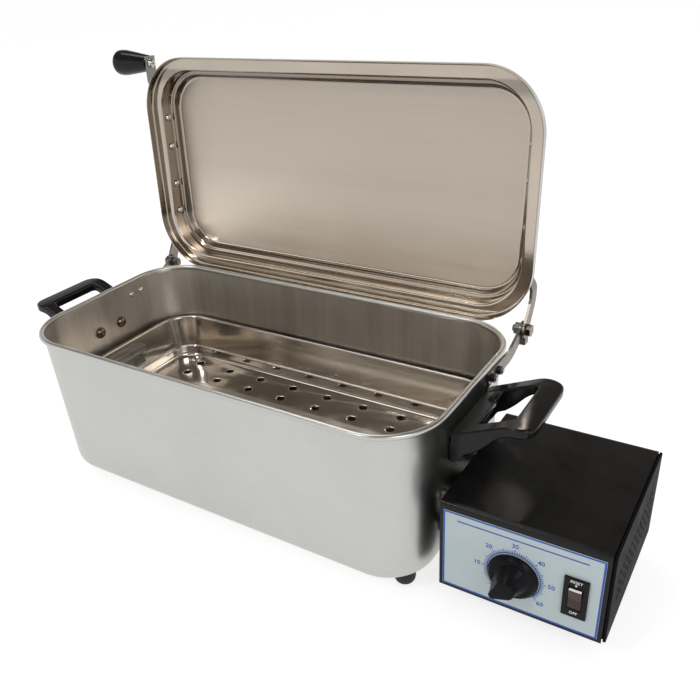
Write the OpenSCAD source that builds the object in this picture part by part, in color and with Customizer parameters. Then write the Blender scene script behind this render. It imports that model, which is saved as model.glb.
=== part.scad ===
// Boiling-type instrument sterilizer: a deep-drawn heated tank on rubber feet, a hinged
// lid that stands open, a perforated lift-out tray and a black control box on the right end.
// Millimetres, Z up. The tank's front faces -Y and the control box is at +X.

/* [Tank] */
// Length of the tank over its rolled rim
tank_len = 410; // [370:1:450]
// Width of the tank over its rolled rim
tank_wid = 207; // [195:1:240]
// Height of the tank from its underside to the top of its rim
tank_depth = 146; // [135:1:170]
// Corner radius of the rim seen from above
tank_corner = 51; // [46:1:56]
// Inward lean of each wall between rim and underside
tank_draft = 4.8; // [3:0.1:6]
// Outside radius where the walls turn into the bottom
bottom_edge = 15; // [13:1:20]
// Sheet thickness of the tank
tank_sheet = 1; // [0.8:0.1:1.2]
// Diameter of the rolled rim
rim_bead = 5; // [4.5:0.1:5.5]

/* [Feet] */
// Height of a rubber foot
foot_h = 17; // [13.5:0.5:20.5]
// Diameter of a rubber foot
foot_d = 18; // [14.5:0.5:21.5]
// Distance of a foot's centre from the end of the tank
foot_in_x = 31; // [26:1:46]
// Distance of a foot's centre from the side of the tank
foot_in_y = 41; // [35:1:48]
// Diameter of the stud that holds a foot
foot_stud = 4; // [3:0.5:5]

/* [Side handles] */
// Length of a side handle
handle_len = 80; // [73:1:87]
// Width of the handle's bar
handle_bar = 18; // [15:0.5:21]
// Width of the handle's two legs
handle_leg = 13; // [10.5:0.5:15.5]
// Thickness of the handle's bar
handle_t = 8.5; // [7:0.5:10]
// Outward reach of the handle from the wall
handle_reach = 62; // [58:1:66]
// Rise of the bar's top above the handle's screws
handle_rise = 33; // [28:1:38]
// Depth of the handle's screws below the rim
handle_drop = 38; // [36:1:42]
// Height of the handle's pad
handle_pad_h = 24; // [20:1:26]
// Thickness of the handle's pad
handle_pad_t = 8; // [7:0.5:9]
// Rounding of the handle's outer corners
handle_round = 14; // [8:1:20]
// Distance between a handle's screws
handle_screw_gap = 28.6; // [24:0.1:36]
// Diameter of a handle screw
handle_screw = 5; // [4:0.5:6]

/* [Hinge] */
// Distance of the hinge axis behind the back rim
hinge_back = 3.5; // [3.2:0.1:6]
// Depth of the hinge axis below the rim
hinge_drop = 4; // [3.8:0.1:5]
// Diameter of a hinge bolt
hinge_bolt = 6; // [5:0.5:7]
// Diameter of the round ends at the hinge bolt
hinge_eye = 15; // [14:0.5:16]
// Width of the bracket's strip
strap_w = 12; // [10:0.5:13]
// Thickness of the bracket's strip
strap_t = 2.4; // [2:0.1:3]
// Depth of the bracket's screws below the rim
strap_drop = 15.5; // [15:0.1:17]
// Distance of the bracket's front screw behind the middle
strap_screw_y = 36; // [32:1:38]
// Distance between the bracket's screws
strap_screw_gap = 14; // [12:0.5:15]
// Diameter of a bracket screw
strap_screw = 4; // [3:0.5:5]

/* [Lid] */
// Opening angle at which the lid leans back
lid_open = 92.5; // [91:0.5:97]
// Sheet thickness of the lid
lid_sheet = 1; // [0.8:0.1:1.2]
// Gap between the lid's lip and the rim
lid_gap = 2; // [1.8:0.1:2.4]
// Height of the lip below the top of the rim
lid_lip = 7; // [6:0.1:7.2]
// Width of the lid's flat flange
lid_flange = 12; // [11:0.5:14]
// Height of the lid's step
lid_step = 14; // [13.5:0.5:17]
// Width of the ledge on top of the step
lid_ledge = 5; // [3:0.5:7]
// Rise of the middle panel above the ledge
lid_rise = 7; // [5:0.5:9]
// Thickness of an arm's strip
arm_t = 2.5; // [2:0.1:3]
// Width of an arm's strip
arm_w = 12; // [10:0.5:13]
// Shank diameter of an arm's rivets
rivet_d = 3.5; // [3:0.5:4.5]
// Head diameter of an arm's rivets
rivet_head = 7.5; // [6:0.5:8.5]
// Distance from the middle of the rivets to the inner rivets
rivet_near = 19.5; // [14:0.5:22]
// Distance from the middle of the rivets to the outer rivets
rivet_far = 48.5; // [40:0.5:50]

/* [Lid grip] */
// Length of the black grip
grip_len = 42; // [34:1:50]
// Largest diameter of the grip
grip_d = 25; // [20:1:28]
// Diameter of the grip at the arm
grip_neck = 16; // [13:0.5:18]
// Diameter of the screw on which the grip turns
grip_screw = 5; // [4:0.5:6]
// Distance of the grip's axis from the front edge of the rim
grip_in = 4.5; // [3:0.5:8]

/* [Tray] */
// Gap between the tray's rim and the tank's rim at each end
tray_end_gap = 14.5; // [13:0.5:40]
// Gap between the tray's rim and the tank's rim at each side
tray_side_gap = 10; // [9.5:0.5:16]
// Corner radius of the tray's rim
tray_corner = 36; // [32:1:42]
// Height of the tray from the underside of its floor to the top of its rim
tray_depth = 45; // [38:1:54]
// Sheet thickness of the tray
tray_sheet = 1; // [0.8:0.1:1.2]
// Diameter of the tray's rolled rim
tray_bead = 4; // [3.5:0.1:4.5]
// Inward lean of the tray's upper wall
tray_lean = 6; // [4:0.5:8]
// Height of the ledge above the tray's floor
tray_ledge_h = 12; // [8:1:16]
// Width of the ledge
tray_ledge = 2; // [1:0.5:4]
// Height of the tray's legs
tray_leg_h = 43.5; // [38.5:0.5:48.5]
// Diameter of the tray's legs
tray_leg_d = 8; // [6:0.5:10]
// Distance of a leg from the end of the tray
tray_leg_in_x = 33; // [31:0.5:36]
// Distance of a leg from the side of the tray
tray_leg_in_y = 25; // [24:0.5:30]
// Diameter of the holes in the tray
hole_d = 8.5; // [6.5:0.5:10.5]
// Distance of the outer holes from the end of the tray
hole_in_x = 45; // [40:0.5:64]
// Distance of the outer holes from the side of the tray
hole_in_y = 27; // [25.5:0.5:39]
// Holes in a row along the tray
hole_cols = 8; // [6:1:8]
// Rows of holes
hole_rows = 7; // [3:2:7]
// Length of a tray handle
tray_grip_len = 42; // [34:1:54]
// Inward reach of a tray handle
tray_grip_reach = 9; // [7:0.5:12]

/* [Heater] */
// Diameter of the heating tube
heater_d = 8.5; // [7:0.5:10]
// Height of the tube's axis above the tank's floor
heater_up = 27; // [25:0.5:30]
// Distance between the two legs of the tube
heater_spread = 60; // [50:1:66]
// Distance from the left end of the tank to the tube's bend
heater_end = 60; // [50:1:120]
// Diameter of the glands in the tank's wall
gland_d = 12; // [11.5:0.5:13]

/* [Control box] */
// Length of the control box
box_len = 123; // [118:1:140]
// Width of the control box from front to back
box_wid = 134.5; // [130:0.5:150]
// Height of the control box
box_h = 80; // [76:1:88]
// Distance between the end of the rim and the box
box_gap = 4; // [3:0.5:10]
// Distance of the box's front before the middle of the tank
box_front = 72.5; // [70:0.5:78]
// Height of the box's underside above the tank's underside
box_lift = 5; // [3.5:0.5:6.5]
// Sheet thickness of the box
box_sheet = 1.2; // [1:0.1:1.6]
// Edge rounding of the folded box
box_round = 3; // [2:0.5:5]
// Thickness of the side panel's raised rim
panel_t = 2; // [1.5:0.1:3]
// Depth of the side panel's folded edge
panel_fold = 10; // [8:0.5:12]
// Diameter of the vent holes
vent_d = 4; // [3:0.5:5]
// Distance between vent holes
vent_pitch = 8; // [7:0.5:8.5]
// Vent holes in a row
vent_cols = 13; // [8:1:14]
// Rows of vent holes
vent_rows = 4; // [2:1:6]
// Diameter of the studs that carry the box
stud_d = 5; // [4:0.5:6]
// Distance of the studs from the middle of the tank
stud_y = 46; // [44:1:48]
// Height of the lower studs above the box's underside
stud_low = 34; // [33:1:38]
// Distance between lower and upper studs
stud_gap = 30; // [22:1:32]

/* [Front panel] */
// Width of the label plate
label_w = 117; // [114:0.5:118]
// Height of the label plate
label_h = 71; // [68:0.5:72]
// Thickness of the label plate
label_t = 0.6; // [0.4:0.1:1]
// Distance of the knob's axis to the left of the box's middle
knob_off = 3.5; // [1.5:0.5:11.5]
// Height of the knob's axis above the underside of the box
knob_up = 34.5; // [32:0.5:38]
// Diameter of the knob's skirt
knob_d = 38; // [32:1:42]
// Height of the knob
knob_h = 20; // [16:1:24]
// Thickness of the knob's skirt
knob_skirt = 6; // [5.5:0.5:7]
// Width of the knob's grip
knob_grip = 22; // [18:1:25]
// Diameter of the timer's shaft
shaft_d = 6; // [5:0.5:6.5]
// Angle of the pointer at zero, from the right and counter-clockwise
knob_zero = 222; // [180:1:250]
// Distance of the switch's middle from the right end of the box
switch_in = 20.5; // [19:0.5:23]
// Height of the switch's middle above the underside of the box
switch_up = 35; // [32:0.5:38]
// Width of the switch plate
switch_w = 17.2; // [16.8:0.1:18]
// Height of the switch plate
switch_h = 34.5; // [33:0.5:38]
// Width of the rocker
rocker_w = 9.2; // [8:0.1:9.6]
// Height of the rocker
rocker_h = 18; // [16:0.5:19]
// Tilt of the rocker to either side
rocker_tilt = 8; // [6:1:10]

/* [Fits] */
// Gap between pieces that move past one another
move_gap = 0.3; // [0.3:0.05:0.5]
// Gap between fixed pieces that meet
seat_gap = 0.1; // [0.05:0.05:0.2]
// Difference in diameter between a turning bore and its shaft
turn_gap = 0.1; // [0.06:0.02:0.16]
// Difference in diameter between a screw hole and its screw
screw_gap = 0.4; // [0.3:0.05:0.6]

/* [Hidden] */
$fn = 48;

// Tank
core_x = tank_len / 2 - tank_corner;
core_y = tank_wid / 2 - tank_corner;
tank_z = foot_h;
rim_z = tank_z + tank_depth;
floor_z = tank_z + tank_sheet;
bead_set = 0.3;
wall_top = tank_corner - rim_bead + tank_sheet + bead_set;
draft_angle = atan(tank_draft / tank_depth);
edge_z = tank_z + bottom_edge;
edge_r = wall_out(edge_z) - bottom_edge / cos(draft_angle);
edge_steps = 6;
tank_path = concat(
    [[0, tank_z + tank_sheet / 2]],
    [for (i = [0:edge_steps])
        let (a = -90 + (90 - draft_angle) * i / edge_steps)
        [edge_r, edge_z] + (bottom_edge - tank_sheet / 2) * [cos(a), sin(a)]],
    [[wall_mid(rim_z - rim_bead / 2), rim_z - rim_bead / 2]]);

// Feet
foot_x = tank_len / 2 - foot_in_x;
foot_y = tank_wid / 2 - foot_in_y;
stud_into_foot = foot_h * 0.6;

// Side handles
handle_z = rim_z - handle_drop;
handle_bar_in = handle_reach - handle_bar;
handle_slope = (handle_rise - handle_pad_h / 2) / handle_bar_in;
handle_rail = handle_pad_t + 9;
handle_leg_path = soften([
    [seat_gap, 0, 0],
    [seat_gap, handle_pad_h / 2, 0],
    [handle_bar_in, handle_rise, 6],
    [handle_reach, handle_rise, 2.5],
    [handle_reach - 1, handle_rise - handle_t + 1, 2.5],
    [handle_bar_in, handle_rise - handle_t, 5],
    [handle_bar_in * 0.66, handle_rise * 0.33, 6],
    [handle_pad_t + 4, -handle_pad_h * 0.1, 3],
    [handle_pad_t, -handle_pad_h / 2, 2],
    [seat_gap, -handle_pad_h / 2, 0]]);
handle_bar_path = soften([
    [handle_bar_in, handle_rise - handle_t / 2, 0],
    [handle_bar_in, handle_rise, 2],
    [handle_reach, handle_rise, 2.5],
    [handle_reach - 1, handle_rise - handle_t + 1, 2.5],
    [handle_bar_in, handle_rise - handle_t, 2],
    [handle_bar_in, handle_rise - handle_t * 0.6, 0]]);
handle_rail_path = soften([
    [seat_gap, 0, 0],
    [seat_gap, handle_pad_h / 2, 0],
    [handle_rail, handle_pad_h / 2 + handle_slope * handle_rail, 2],
    [handle_rail, handle_pad_h / 4 + handle_slope * handle_rail, 2],
    [handle_pad_t, 0, 2],
    [handle_pad_t, -handle_pad_h / 2, 2],
    [seat_gap, -handle_pad_h / 2, 0]]);
handle_tip = end_x(handle_z)
    + max([for (p = handle_bar_path) p[0] * cos(draft_angle) + p[1] * sin(draft_angle)]);
handle_bore = handle_pad_t - 1.5;
dome_head = handle_screw * 2.1;
dome_h = handle_screw * 0.8;

// Hinge
hinge_y = tank_wid / 2 + hinge_back;
hinge_z = rim_z - hinge_drop;
strap_z = rim_z - strap_drop;
strap_x = end_x(strap_z + strap_w / 2) + seat_gap;
strap_start = strap_screw_y - strap_w / 2 - 1;
strap_bend = hinge_y - 27;
strap_screws = [strap_screw_y, strap_screw_y + strap_screw_gap];
strap_nut = strap_screw * 0.8;
arm_x = strap_x + strap_t + move_gap;
bolt_head = hinge_bolt * 0.66;
stop_clear = 0.8;
stop_out = hinge_eye / 2 + 6.5;
stop_w = 8;
stop_low = 2;
bolt_nut = hinge_bolt * 0.83;

// Lid, drawn closed
lid_r = tank_corner + lid_gap + lid_sheet;
lid_z = rim_z + move_gap + lid_sheet / 2;
lid_top = lid_z + lid_step + lid_rise;
step_r = lid_r - lid_sheet / 2 - lid_flange;
step_lean = 0.6;
lid_soft = 1.5;
rise_lean = 0.6;
panel_r = step_r - step_lean - lid_ledge - rise_lean;
lid_path = soften([
    [lid_r - lid_sheet / 2, rim_z - lid_lip, 0],
    [lid_r - lid_sheet / 2, lid_z, 2],
    [step_r, lid_z, lid_soft],
    [step_r - step_lean, lid_z + lid_step, 2],
    [panel_r + rise_lean, lid_z + lid_step, 1.5],
    [panel_r, lid_top, 2],
    [0, lid_top, 0]]);
arm_z = lid_z + lid_sheet / 2 + lid_soft;
arm_mid = arm_z + arm_w / 2;
arm_wall_x = core_x + step_r + lid_sheet / 2 + seat_gap + arm_t / 2;
arm_rear_x = arm_x + arm_t / 2;
arm_front_x = core_x + lid_r + 1 + arm_t / 2;
jog_y = core_y + 7.5;
jog_len = 12;
rivet_mid = 2;
rivet_ys = [rivet_mid - rivet_far, rivet_mid - rivet_near, rivet_mid + rivet_near, rivet_mid + rivet_far];
arm_front_y = -rivet_far - 14;
grip_y = -(tank_wid / 2 - grip_in);
grip_x = arm_front_x + arm_t / 2 + move_gap;
grip_bore = grip_len * 0.7;
grip_head = grip_screw * 1.8;
grip_head_h = grip_screw * 0.6;

// Tray
tray_len = tank_len - 2 * tray_end_gap;
tray_wid = tank_wid - 2 * tray_side_gap;
hole_pitch_x = (tray_len - 2 * hole_in_x) / (hole_cols - 1);
hole_pitch_y = (tray_wid - 2 * hole_in_y) / (hole_rows - 1);
tray_core_x = tray_len / 2 - tray_corner;
tray_core_y = tray_wid / 2 - tray_corner;
tray_z = floor_z + move_gap + tray_leg_h;
tray_rim_z = tray_z + tray_depth;
tray_top_r = tray_corner - tray_bead + tray_sheet / 2 + bead_set;
tray_ledge_r = tray_top_r - tray_lean;
tray_low_r = tray_ledge_r - tray_ledge - 0.5;
tray_ledge_z = tray_z + tray_ledge_h;
tray_path = soften([
    [tray_top_r, tray_rim_z - tray_bead / 2, 0],
    [tray_ledge_r, tray_ledge_z, 2.5],
    [tray_ledge_r - tray_ledge, tray_ledge_z, 2],
    [tray_low_r, tray_z + tray_sheet / 2, 4],
    [0, tray_z + tray_sheet / 2, 0]]);
tray_leg_x = tray_len / 2 - tray_leg_in_x;
tray_leg_y = tray_wid / 2 - tray_leg_in_y;
leg_pin = tray_leg_d / 2;
tray_grip_low = tray_ledge_z + 5;
tray_grip_top = tray_rim_z - tray_bead - 3;
tray_grip_t = 1.5;
tray_grip_lip = 6;

// Heater
heater_z = floor_z + heater_up;
heater_y = heater_spread / 2;
heater_left = -tank_len / 2 + heater_end + heater_y;
gland_flange = 2.5;
gland_nut = 5;
gland_head = gland_d + 6;

// Control box
box_x = tank_len / 2 + box_gap;
box_end = box_x + box_len;
box_y = -box_front;
box_back = box_y + box_wid;
box_z = tank_z + box_lift;
box_top = box_z + box_h;
box_path = soften([
    [box_y + box_sheet / 2, box_z, 0],
    [box_y + box_sheet / 2, box_top - box_sheet / 2, box_round],
    [box_back - box_sheet / 2, box_top - box_sheet / 2, box_round],
    [box_back - box_sheet / 2, box_z, 0]]);
heater_tip = box_x + box_sheet + 10;
heater_pin = 6;
studs = [for (y = [-stud_y, stud_y], z = [stud_low, stud_low + stud_gap]) [y, box_z + z]];
stud_in = 7;
nut_h = 4;
panel_gap = 0.8;
base_lip = 9;
panel_x = box_end + panel_gap;
panel_screw = 3;
panel_screw_up = box_h / 2;

// Front panel
label_y = box_y - seat_gap - label_t;
label_side = (box_len - label_w) / 2;
label_up = 3;
knob_x = box_x + box_len / 2 - knob_off;
knob_z = box_z + knob_up;
bush_d = shaft_d + 3.6;
bush_nut = 2.5;
timer_w = 46;
timer_h = 40;
timer_deep = 28;
timer_bore = 12;
knob_hollow = bush_d + 10;
switch_x = box_end - switch_in;
switch_z = box_z + switch_up;
bezel_t = 2;
switch_body_w = switch_w - 2;
switch_body_h = switch_h - 3;
switch_deep = 20;
pocket_w = rocker_w + 2 * move_gap;
pocket_h = rocker_h + 2.4;
pocket_deep = 10;
rocker_pin = 2.5;
rocker_axis = 3.5;

// Inside the box
strip_in = 52;
strip_x = box_x + box_sheet + strip_in;
strip_w = 20;
strip_len = 80;
strip_h = 16;
strip_y = -strip_len / 2;
strip_z = box_z + box_sheet + seat_gap;
wire_d = 2.4;
wire_bend = 4;
wire_side = 15;
wire_in = 12;
wire_x = strip_x + strip_w / 2;
inlet_up = 42;
inlet_z = box_z + inlet_up;
inlet_w = 27;
inlet_h = 20;
inlet_deep = 18;
inlet_flange_w = 50;
inlet_flange_h = 24;
inlet_flange_t = 3;
inlet_screw_x = 20;
inlet_screw = 3;
inlet_cut = 5;

// Middle of the whole object, which becomes the origin
x_low = -max(grip_x + grip_len, handle_tip);
x_high = panel_x + panel_t;
y_low = -tank_wid / 2;
y_high = hinge_y - (core_y + panel_r + hinge_y) * cos(lid_open)
    + (lid_top + lid_sheet / 2 - hinge_z) * sin(lid_open);
middle = [(x_low + x_high) / 2, (y_low + y_high) / 2, 0];
echo(middle = middle, hinge = [hinge_y, hinge_z]);
echo(knob = [knob_x, knob_z], switch = [switch_x, switch_z], rim = rim_z);

// Outside radius of the tank's wall about its corner axis at a height
function wall_out(z) = wall_top - (rim_z - z) * tank_draft / tank_depth;

// Middle of the tank's wall about its corner axis at a height
function wall_mid(z) = wall_out(z) - tank_sheet / 2 / cos(draft_angle);

// Outside face of the tank's end wall at a height
function end_x(z) = core_x + wall_out(z);

// Inside face of the tank's end wall at a height
function end_in_x(z) = end_x(z) - tank_sheet / cos(draft_angle);

// Middle of the tray's upper end wall at a height
function tray_wall_x(z) =
    tray_core_x + tray_ledge_r + tray_lean * (z - tray_ledge_z) / (tray_rim_z - tray_bead / 2 - tray_ledge_z);

// Vector of length one
function unit(v) = v / norm(v);

// Vector turned a quarter to the left
function left(v) = [-v[1], v[0]];

// Mitre direction of a path at one of its points
function mitre(p, i) =
    let (n = len(p) - 1)
    let (a = left(unit(p[max(i, 1)] - p[max(i, 1) - 1])))
    let (b = left(unit(p[min(i, n - 1) + 1] - p[min(i, n - 1)])))
    (a + b) / (1 + a * b);

// Path moved sideways
function beside(p, d) = [for (i = [0:len(p) - 1]) p[i] + d * mitre(p, i)];

// Place of one of several evenly spaced things about their middle
function in_row(i, count, pitch) = (i - (count - 1) / 2) * pitch;

// List read backwards
function reversed(p) = [for (i = [len(p) - 1:-1:0]) p[i]];

// Length over which a corner of a path is rounded, kept short of its neighbours
function trim(p, i) =
    i == 0 || i == len(p) - 1 ? 0
    : min(p[i][2], 0.45 * norm(flat(p[i]) - flat(p[i - 1])), 0.45 * norm(flat(p[i + 1]) - flat(p[i])));

// First two numbers of a point
function flat(q) = [q[0], q[1]];

// Path with its corners rounded over the length given as each point's third number
function soften(p, n = 3) = [
    for (i = [0:len(p) - 1])
        let (t = trim(p, i))
        let (q = flat(p[i]))
        for (k = [0:(t > 0 ? n : 0)])
            t > 0
                ? q + t * pow(1 - k / n, 2) * unit(flat(p[i - 1]) - q)
                    + t * pow(k / n, 2) * unit(flat(p[i + 1]) - q)
                : q];

// Strip of even thickness along a path
module strip(p, t) {
    polygon(concat(beside(p, t / 2), reversed(beside(p, -t / 2))));
}

// Carries a radius-height profile round a rounded rectangle with these corner axes
module carried(cx, cy) {
    for (a = [0, 180]) {
        rotate([0, 0, a]) translate([-cx, cy, 0]) rotate([90, 0, 90]) linear_extrude(2 * cx) children();
        rotate([0, 0, a + 90]) translate([-cy, cx, 0]) rotate([90, 0, 90]) linear_extrude(2 * cy) children();
        rotate([0, 0, a]) translate([cx, cy, 0]) rotate_extrude(angle = 90) children();
        rotate([0, 0, a + 90]) translate([cy, cx, 0]) rotate_extrude(angle = 90) children();
    }
}

// Draws in the y-z plane and thickens along x
module sideways(x, t) {
    translate([x, 0, 0]) rotate([90, 0, 90]) linear_extrude(t) children();
}

// Round bar along x
module bar_x(x, len, d) {
    translate([x, 0, 0]) rotate([0, 90, 0]) cylinder(h = len, d = d);
}

// Hexagonal nut along x with a bore
module nut_x(x, len, across, bore) {
    translate([x, 0, 0]) rotate([0, 90, 0]) difference() {
        cylinder(h = len, d = across / cos(30), $fn = 6);
        translate([0, 0, -1]) cylinder(h = len + 2, d = bore);
    }
}

// Low dome along z on its flat face
module dome(d, h) {
    rotate_extrude() polygon([[0, 0], [d / 2, 0], [d / 2 * 0.94, h * 0.4], [d / 2 * 0.72, h * 0.76],
        [d / 2 * 0.4, h * 0.95], [0, h]]);
}

// Copies children to the right and, mirrored, to the left
module both_ends() {
    children();
    mirror([1, 0, 0]) children();
}

// Shifts the tank's middle so that the whole object is centred
module centred() {
    translate(-middle) children();
}

// Opens the lid from its closed place
module opened() {
    centred() translate([0, hinge_y, hinge_z]) rotate([-lid_open, 0, 0])
        translate([0, -hinge_y, -hinge_z]) children();
}

// Frame on the right end wall where a side handle sits
module at_handle() {
    translate([end_x(handle_z), 0, handle_z]) rotate([0, draft_angle, 0]) children();
}

// Frame of the front panel: x right, y up, z to the viewer
module at_front(x, z) {
    translate([x, label_y, z]) rotate([90, 0, 0]) children();
}

// Tank

module tank_shell() {
    color("gainsboro") centred() difference() {
        union() {
            carried(core_x, core_y) {
                union() {
                    strip(tank_path, tank_sheet);
                    translate([tank_corner - rim_bead / 2, rim_z - rim_bead / 2]) circle(d = rim_bead);
                }
            }
            translate([-core_x, -core_y, tank_z]) cube([2 * core_x, 2 * core_y, tank_sheet]);
        }
        both_ends() {
            for (y = [-1, 1] * handle_screw_gap / 2)
                at_handle() translate([0, y, 0]) bar_x(-10, 20, handle_screw + screw_gap);
            for (y = strap_screws)
                translate([0, y, strap_z]) bar_x(strap_x - 12, 20, strap_screw + screw_gap);
        }
        for (y = [-heater_y, heater_y])
            translate([0, y, heater_z]) bar_x(end_x(heater_z) - 10, 20, gland_d + screw_gap);
    }
}

module rubber_feet() {
    color("black") centred() for (x = [-foot_x, foot_x], y = [-foot_y, foot_y])
        translate([x, y, 0]) difference() {
            rotate_extrude() polygon([[0, 0], [foot_d * 0.24, 0], [foot_d * 0.33, foot_h * 0.03],
                [foot_d * 0.41, foot_h * 0.1], [foot_d * 0.47, foot_h * 0.21], [foot_d / 2, foot_h * 0.38],
                [foot_d / 2, foot_h - seat_gap], [0, foot_h - seat_gap]]);
            translate([0, 0, foot_h - stud_into_foot]) cylinder(h = foot_h, d = foot_stud + seat_gap);
        }
}

module foot_studs() {
    color("silver") centred() for (x = [-foot_x, foot_x], y = [-foot_y, foot_y])
        translate([x, y, foot_h - stud_into_foot + seat_gap])
            cylinder(h = stud_into_foot - 2 * seat_gap, d = foot_stud);
}

// Side handles

// Outline of the handle seen from above
module handle_plan() {
    polygon(soften([
        [0, 0, 0],
        [0, -handle_len / 2, 0],
        [handle_reach, -handle_len / 2, handle_round],
        [handle_reach, handle_len / 2, handle_round],
        [0, handle_len / 2, 0]], 6));
}

// Shape drawn from the wall outwards and carried along the handle
module along_handle(from, to) {
    translate([0, to, 0]) rotate([90, 0, 0]) linear_extrude(to - from) children();
}

module side_handle() {
    end = handle_len / 2;
    at_handle() difference() {
        intersection() {
            union() {
                along_handle(-end, handle_leg - end) polygon(handle_leg_path);
                along_handle(end - handle_leg, end) polygon(handle_leg_path);
                along_handle(-end, end) polygon(handle_bar_path);
                along_handle(-end, end) polygon(handle_rail_path);
            }
            translate([0, 0, -handle_pad_h]) linear_extrude(handle_rise + 2 * handle_pad_h) handle_plan();
        }
        for (y = [-1, 1] * handle_screw_gap / 2)
            translate([0, y, 0]) bar_x(-1, handle_bore + 1 + seat_gap, handle_screw + seat_gap);
    }
}

module side_handle_left() {
    color("black") centred() mirror([1, 0, 0]) side_handle();
}

module side_handle_right() {
    color("black") centred() side_handle();
}

module handle_screws() {
    color("silver") centred() both_ends() for (y = [-1, 1] * handle_screw_gap / 2)
        at_handle() translate([0, y, 0]) {
            translate([-tank_sheet - seat_gap, 0, 0]) rotate([0, -90, 0]) dome(dome_head, dome_h);
            bar_x(-tank_sheet - seat_gap, tank_sheet + handle_bore, handle_screw);
        }
}

// Hinge

module hinge_bracket() {
    difference() {
        union() {
            sideways(strap_x, strap_t) strip(soften([
                [strap_start, strap_z, 0],
                [strap_bend, strap_z, 8],
                [hinge_y, hinge_z, 0]]), strap_w);
            translate([0, hinge_y, hinge_z]) bar_x(strap_x, strap_t, hinge_eye);
        }
        translate([0, hinge_y, hinge_z]) bar_x(strap_x - 1, strap_t + 2, hinge_bolt + turn_gap);
        for (y = strap_screws)
            translate([0, y, strap_z]) bar_x(strap_x - 1, strap_t + 2, strap_screw + screw_gap);
    }
}

module hinge_bracket_left() {
    color("silver") centred() mirror([1, 0, 0]) hinge_bracket();
}

module hinge_bracket_right() {
    color("silver") centred() hinge_bracket();
}

module bracket_screws() {
    head_x = end_in_x(strap_z - strap_screw) - seat_gap;
    color("silver") centred() both_ends() for (y = strap_screws)
        translate([0, y, strap_z]) {
            translate([head_x, 0, 0]) rotate([0, -90, 0]) dome(strap_screw * 1.8, strap_screw * 0.65);
            bar_x(head_x, strap_x + strap_t + strap_nut + 1.5 - head_x, strap_screw);
        }
}

module bracket_nuts() {
    color("dimgray") centred() both_ends() for (y = strap_screws)
        translate([0, y, strap_z])
            nut_x(strap_x + strap_t + seat_gap, strap_nut, strap_screw * 1.75, strap_screw + turn_gap);
}

module hinge_bolts() {
    head_x = arm_x + arm_t + move_gap;
    color("silver") centred() both_ends() translate([0, hinge_y, hinge_z]) {
        bar_x(strap_x - bolt_nut - 2, head_x + bolt_head - strap_x + bolt_nut + 2, hinge_bolt);
        nut_x(head_x, bolt_head, hinge_bolt * 1.66, hinge_bolt / 2);
    }
}

module hinge_nuts() {
    color("dimgray") centred() both_ends() translate([0, hinge_y, hinge_z])
        nut_x(strap_x - seat_gap - bolt_nut, bolt_nut, hinge_bolt * 1.66, hinge_bolt + turn_gap);
}

// Lid

module lid_shell() {
    color("lightgray") opened() difference() {
        union() {
            carried(core_x, core_y) strip(lid_path, lid_sheet);
            translate([-core_x, -core_y, lid_top - lid_sheet / 2])
                cube([2 * core_x, 2 * core_y, lid_sheet]);
        }
        both_ends() for (y = rivet_ys)
            translate([0, y, arm_mid]) bar_x(arm_wall_x - 8, 12, rivet_d + turn_gap);
    }
}

// Arm from the rear eye to the end of its straight run, with an optional front path
module lid_arm(front) {
    difference() {
        union() {
            translate([0, 0, arm_z]) linear_extrude(arm_w) strip(soften(concat([
                [arm_rear_x, jog_y + jog_len + 9, 0],
                [arm_rear_x, jog_y + jog_len, 3],
                [arm_wall_x, jog_y, 3]], front)), arm_t);
            sideways(arm_x, arm_t) union() {
                strip(soften([
                    [jog_y + jog_len + 2, arm_mid, 0],
                    [hinge_y - 23, arm_mid, 8],
                    [hinge_y, hinge_z, 0]]), arm_w);
                translate([hinge_y, hinge_z]) circle(d = hinge_eye);
            }
            translate([arm_x, hinge_y + hinge_bolt, hinge_z - stop_low])
                cube([arm_t, stop_out - hinge_bolt, stop_w]);
            translate([strap_x, hinge_y + hinge_eye / 2 + stop_clear, hinge_z - stop_low])
                cube([arm_x + arm_t - strap_x, stop_out - hinge_eye / 2 - stop_clear, stop_w]);
        }
        translate([0, hinge_y, hinge_z]) bar_x(arm_x - 1, arm_t + 2, hinge_bolt + turn_gap);
        for (y = rivet_ys)
            translate([0, y, arm_mid]) bar_x(arm_wall_x - 5, 10, rivet_d + turn_gap);
        translate([0, grip_y, arm_mid]) bar_x(arm_front_x - 5, 10, grip_screw + turn_gap);
    }
}

module lid_arm_left() {
    color("silver") opened() mirror([1, 0, 0]) lid_arm([
        [arm_wall_x, arm_front_y, 4],
        [arm_front_x, arm_front_y - 18, 4],
        [arm_front_x, grip_y - arm_w / 2 - 1, 0]]);
}

module lid_arm_right() {
    color("silver") opened() lid_arm([[arm_wall_x, arm_front_y, 0]]);
}

module arm_rivets() {
    inside = arm_wall_x - arm_t / 2 - seat_gap - lid_sheet - step_lean - seat_gap;
    outside = arm_wall_x + arm_t / 2 + seat_gap;
    color("silver") opened() both_ends() for (y = rivet_ys)
        translate([0, y, arm_mid]) {
            bar_x(inside, outside - inside, rivet_d);
            translate([inside, 0, 0]) rotate([0, -90, 0]) dome(rivet_head, rivet_head * 0.32);
            bar_x(outside, 1, rivet_head);
        }
}

module lid_grip() {
    r = grip_d / 2;
    color("black") opened() translate([-grip_x, grip_y, arm_mid]) rotate([0, -90, 0]) difference() {
        rotate_extrude() polygon([[0, 0], [grip_neck * 0.44, 0], [grip_neck / 2, grip_len * 0.04],
            [(grip_neck / 2 + r) / 2, grip_len * 0.4], [r * 0.97, grip_len * 0.7], [r, grip_len * 0.8],
            [r * 0.97, grip_len * 0.88], [r * 0.85, grip_len * 0.95], [r * 0.5, grip_len], [0, grip_len]]);
        translate([0, 0, -1]) cylinder(h = grip_bore + 1, d = grip_screw + turn_gap);
    }
}

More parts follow.
